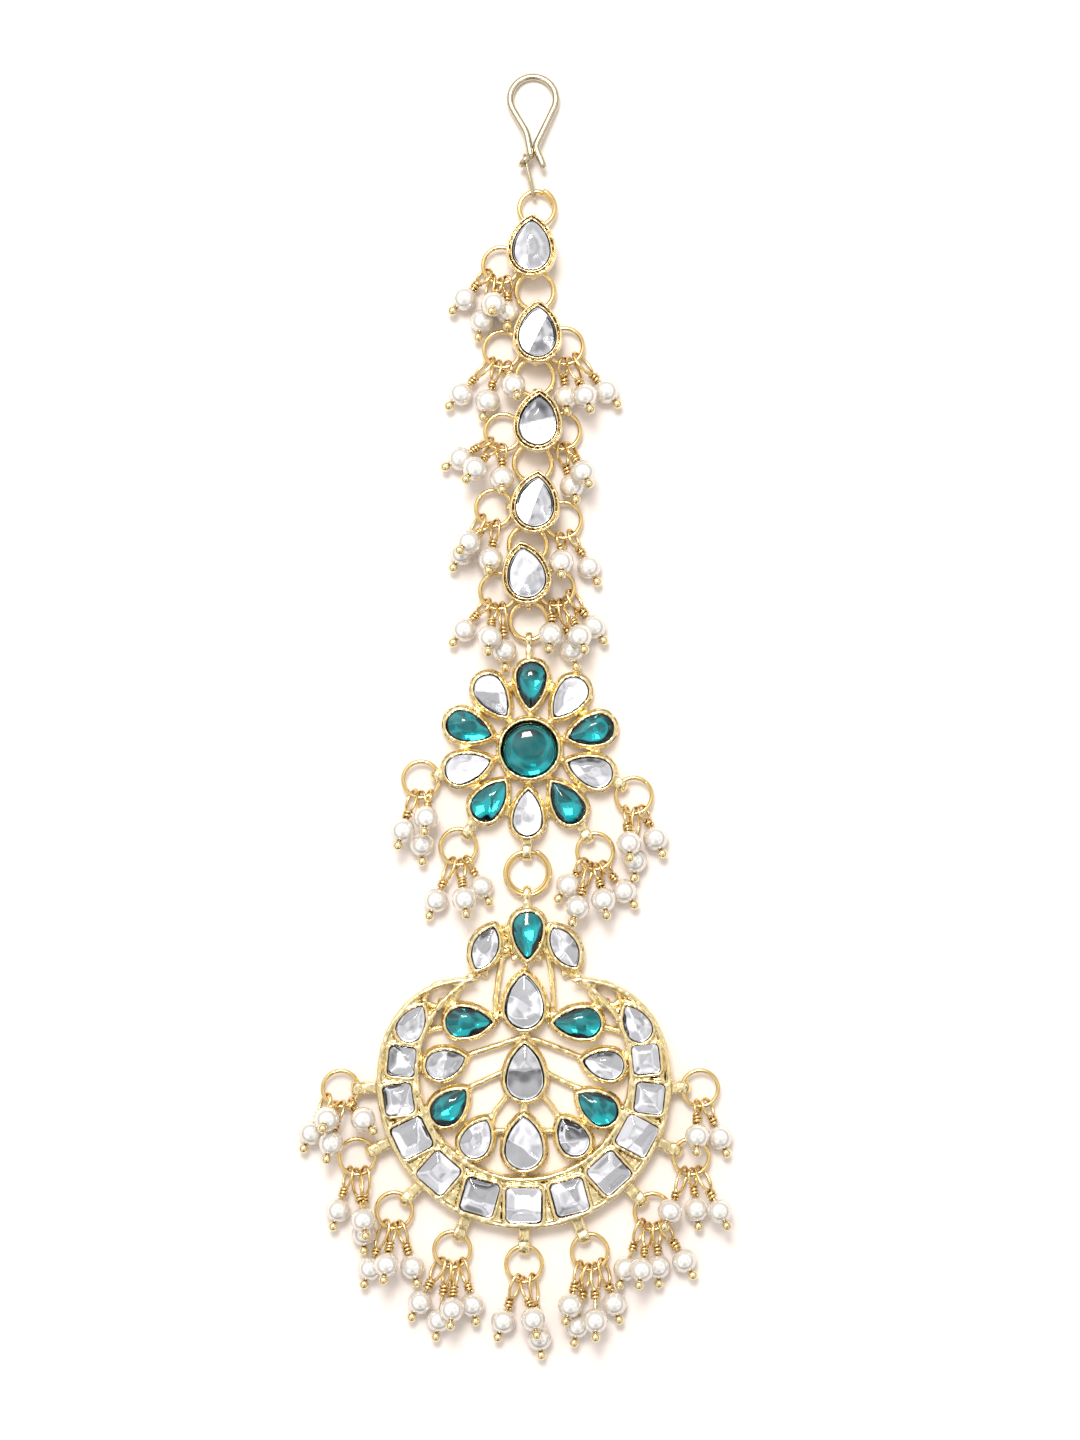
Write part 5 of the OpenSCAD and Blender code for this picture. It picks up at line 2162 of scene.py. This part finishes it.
# Links: x and y of the stone's widest line, and the turn of its tip
LINKS = [(1.70, 51.17, -1), (2.37, 41.61, -1), (2.40, 31.83, -4), (2.08, 22.83, -6), (1.22, 15.00, 10)]
# Rings: x, y and radius, and for those of the chain the direction of the split
CHAIN_RINGS = [
    (2.28, 56.28, 1.95, 20.0),
    (2.11, 47.06, 2.1, 150.0),
    (2.11, 37.50, 2.1, 35.0),
    (1.89, 27.94, 2.1, 160.0),
    (1.33, 18.83, 2.1, 30.0),
    (1.44, 10.39, 2.1, 145.0),
]
PENDANT_RING = (1.22, -17.61, 2.35)
CHAIN_WIRE_R = 0.29
PENDANT_WIRE_R = 0.24
PETAL_EYE = (0.5, 0.42, 1.25, -0.7)  # hole, rim, thickness and underside of the eyes below the petals
# Bunches on the chain: number of the link, x and y of the ring, and Drop's columns for each pearl
CHAIN_BUNCHES = [
    (0, -1.67, 49.94, (
        (212, -4.1, -3.7, 1.4), (239, -2.1, -6.2, 1.4), (265, -0.8, -4.6, 3.9, 60), (291, 0.7, -5.3, 1.5, 35),
    )),
    (1, -1.56, 40.56, (
        (226, -4.6, -4.9, 1.4), (255, -1.6, -5.7, 1.4), (286, 1.3, -4.1, 3.2, 45),
    )),
    (1, 5.44, 40.94, (
        (264, 0.1, -5.7, 1.4, 30), (291, 2.2, -5.7, 3.6), (318, 4.6, -5.0, 1.4),
    )),
    (2, -1.44, 31.39, (
        (211, -4.8, -2.9, 1.4), (238, -3.1, -4.2, 3.4), (266, -0.1, -5.2, 2.7, 45),
    )),
    (2, 5.11, 31.5, (
        (268, 1.1, -6.1, 1.4, 30), (296, 2.3, -4.7, 3.7),
    )),
    (3, -2.44, 22.94, (
        (222, -3.6, -5.0, 1.4), (249, -2.8, -3.9, 4.0), (276, -0.4, -5.7, 2.6, 45),
    )),
    (3, 5.22, 21.61, (
        (264, -0.2, -4.7, 3.0, 40), (300, 2.9, -5.2, 1.4),
    )),
    (4, -2.0, 13.72, (
        (226, -3.8, -4.3, 1.4), (255, -0.9, -5.2, 3.5), (284, 0.7, -6.6, 1.4),
    )),
    (4, 4.44, 14.06, (
        (262, -0.6, -5.2, 3.1), (286, 1.8, -6.9, 1.4), (310, 2.6, -5.4, 3.9), (333, 4.2, -4.3, 1.4),
    )),
]
# Bunches on the flower: the same, with the number of the petal and places from the centre of the flower
FLOWER_BUNCHES = [
    (3, -12.05, -3.4, (
        (244, -2.0, -5.6, 2.9), (271, 0.1, -7.2, 1.4), (296, 0.6, -4.2, 3.1),
    )),
    (4, -7.9, -10.9, (
        (247, -2.5, -5.9, 1.4), (276, 0.7, -5.7, 3.5), (303, 2.5, -4.4, 1.4),
    )),
    (7, 11.6, -5.2, (
        (247, -0.6, -5.2, 3.4), (276, 0.1, -7.2, 1.4), (301, 2.4, -4.7, 1.5),
    )),
    (6, 7.3, -11.4, (
        (226, -3.0, -3.7, 1.4), (252, -2.0, -6.1, 3.0), (278, 0.9, -5.3, 3.0), (304, 3.2, -4.4, 1.4),
    )),
]
# Bunches round the pendant: direction and distance of its ring from the centre, and the pearls
PENDANT_BUNCHES = [
    (182.5, 20.4, (
        (218, -3.3, -4.9, 1.4), (245, -1.4, -3.1, 4.0, 60), (272, -1.0, -5.9, 2.9), (304, 2.6, -3.2, 3.4, 30),
    )),
    (204.5, 20.4, (
        (244, -2.1, -5.9, 1.4), (268, 0.8, -6.7, 3.9), (297, 0.8, -8.5, 1.4),
    )),
    (225, 20.4, (
        (240, -2.7, -6.4, 1.4), (266, -0.8, -5.7, 3.6), (292, 2.0, -6.2, 1.4),
    )),
    (247, 20.4, (
        (230, -3.6, -5.8, 1.4), (256, -1.5, -7.8, 1.4), (282, 0.0, -6.3, 3.5), (308, 2.2, -6.1, 1.4),
    )),
    (270, 20.4, (
        (246, -2.3, -6.3, 1.4), (271, 1.0, -5.8, 3.3), (299, 1.7, -8.2, 1.4),
    )),
    (291, 20.4, (
        (236, -2.2, -5.7, 2.7), (262, -1.4, -8.2, 1.4), (288, 0.6, -7.3, 3.4), (314, 2.7, -5.7, 1.4),
    )),
    (314.5, 20.4, (
        (230, -3.0, -6.3, 1.4), (256, -1.3, -6.1, 3.9), (282, 0.6, -6.1, 1.4), (308, 3.5, -5.4, 1.4),
    )),
    (335.5, 20.4, (
        (246, -2.4, -5.8, 3.1), (274, 0.6, -5.8, 1.4), (302, 3.1, -5.8, 2.9),
    )),
    (357.5, 19.6, (
        (262, -0.4, -5.1, 2.9), (292, 2.2, -5.4, 1.4),
    )),
]


def bunch(x: float, y: float, rows: tuple[tuple[float, ...], ...]) -> Bunch:
    """Bunch given by its ring's centre and a row of Drop's columns for each pearl."""
    return Bunch(x, y, tuple(Drop(*row) for row in rows))


def chain() -> list[Part]:
    """Parts of the chain, in the order that they hang in.

    Returns:
        Hook, link, rings, settings and bunches.
    """
    parts = [HairHook(), HookLink()]
    for i, (x, y, radius, split) in enumerate(CHAIN_RINGS):
        ring = (x, y, radius, CHAIN_WIRE_R, split)
        parts.append(JumpRings(f"chain_ring_{i + 1}", [ring], turns=1.0 if i else 1.12))
    bunches = [(link, bunch(x, y, rows)) for link, x, y, rows in CHAIN_BUNCHES]
    for i, (x, y, turn) in enumerate(LINKS):
        held = [row[:3] for row in CHAIN_RINGS[i:i + 2]]
        held += [(b.x, b.y, DROP_RING_R) for link, b in bunches if link == i]
        parts.append(LinkSetting(i + 1, x, y, turn, held))
    return [*parts, PearlBunches("chain", [b for _, b in bunches], seed=21)]


def flower() -> list[Part]:
    """The flower and its bunches.

    Returns:
        Flower and bunches.
    """
    bloom = Flower(FLOWER_AT[0], FLOWER_AT[1], [])
    bunches = [(petal, bunch(x + bloom.x, y + bloom.y, rows)) for petal, x, y, rows in FLOWER_BUNCHES]
    last_x, last_y, last_radius, _ = CHAIN_RINGS[5]
    top = np.array([last_x, last_y - last_radius])
    low = np.array([PENDANT_RING[0], PENDANT_RING[1] + PENDANT_RING[2]])
    reach = 9.8
    up, down = top[1] - bloom.y - reach, bloom.y - low[1] - reach
    bloom.eyes.append(Eye(*top, 90, hole=0.5, rim=0.4, thick=0.8, back=up, low=-0.6))
    bloom.eyes.append(Eye(*low, 270, hole=0.58, rim=0.43, thick=1.2, back=down, low=-0.9))
    for petal, held in bunches:
        root = FLOWER_AT + polar(bloom.reach + bloom.petal[0] + 0.2, bloom.turn(petal))
        bloom.eyes.append(nearest_eye((held.x, held.y, DROP_RING_R), root, PETAL_EYE, back=0.0))
    return [bloom, PearlBunches("flower", [held for _, held in bunches], seed=22)]


def pendant() -> list[Part]:
    """The pendant, its heavy ring and its bunches.

    Returns:
        Ring, pendant and bunches.
    """
    disc = Pendant(PENDANT_AT[0], PENDANT_AT[1], [])
    ring_x, ring_y, ring_radius = PENDANT_RING
    top_y = ring_y - ring_radius
    disc.eyes.append(Eye(ring_x, top_y, 90, hole=0.58, rim=0.38, thick=0.9, back=1.8, low=-0.7))
    bunches = []
    for way, far, rows in PENDANT_BUNCHES:
        at = PENDANT_AT + polar(far - DROP_RING_R, way)
        back = min(2.1, far - 18.2)
        disc.eyes.append(Eye(*at, way, hole=0.5, rim=0.45, thick=1.4, back=back, low=-0.75))
        bunches.append(bunch(*(PENDANT_AT + polar(far, way)), rows))
    ring = JumpRings("pendant_ring", [(*PENDANT_RING, PENDANT_WIRE_R, 100.0)], turns=1.9)
    return [ring, disc, PearlBunches("pendant", bunches, seed=23)]


def main() -> None:
    """Builds the jewel and the studio in order, and reports each piece."""
    logging.basicConfig(level=logging.INFO, format="%(message)s")
    finishes = Finishes()
    for part in (*chain(), *flower(), *pendant()):
        for piece in part.build(finishes):
            LOG.info("%s: %d faces, from %s", piece.name, len(piece.data.polygons), type(part).__name__)
    Studio().build()


if __name__ == "__main__":
    main()
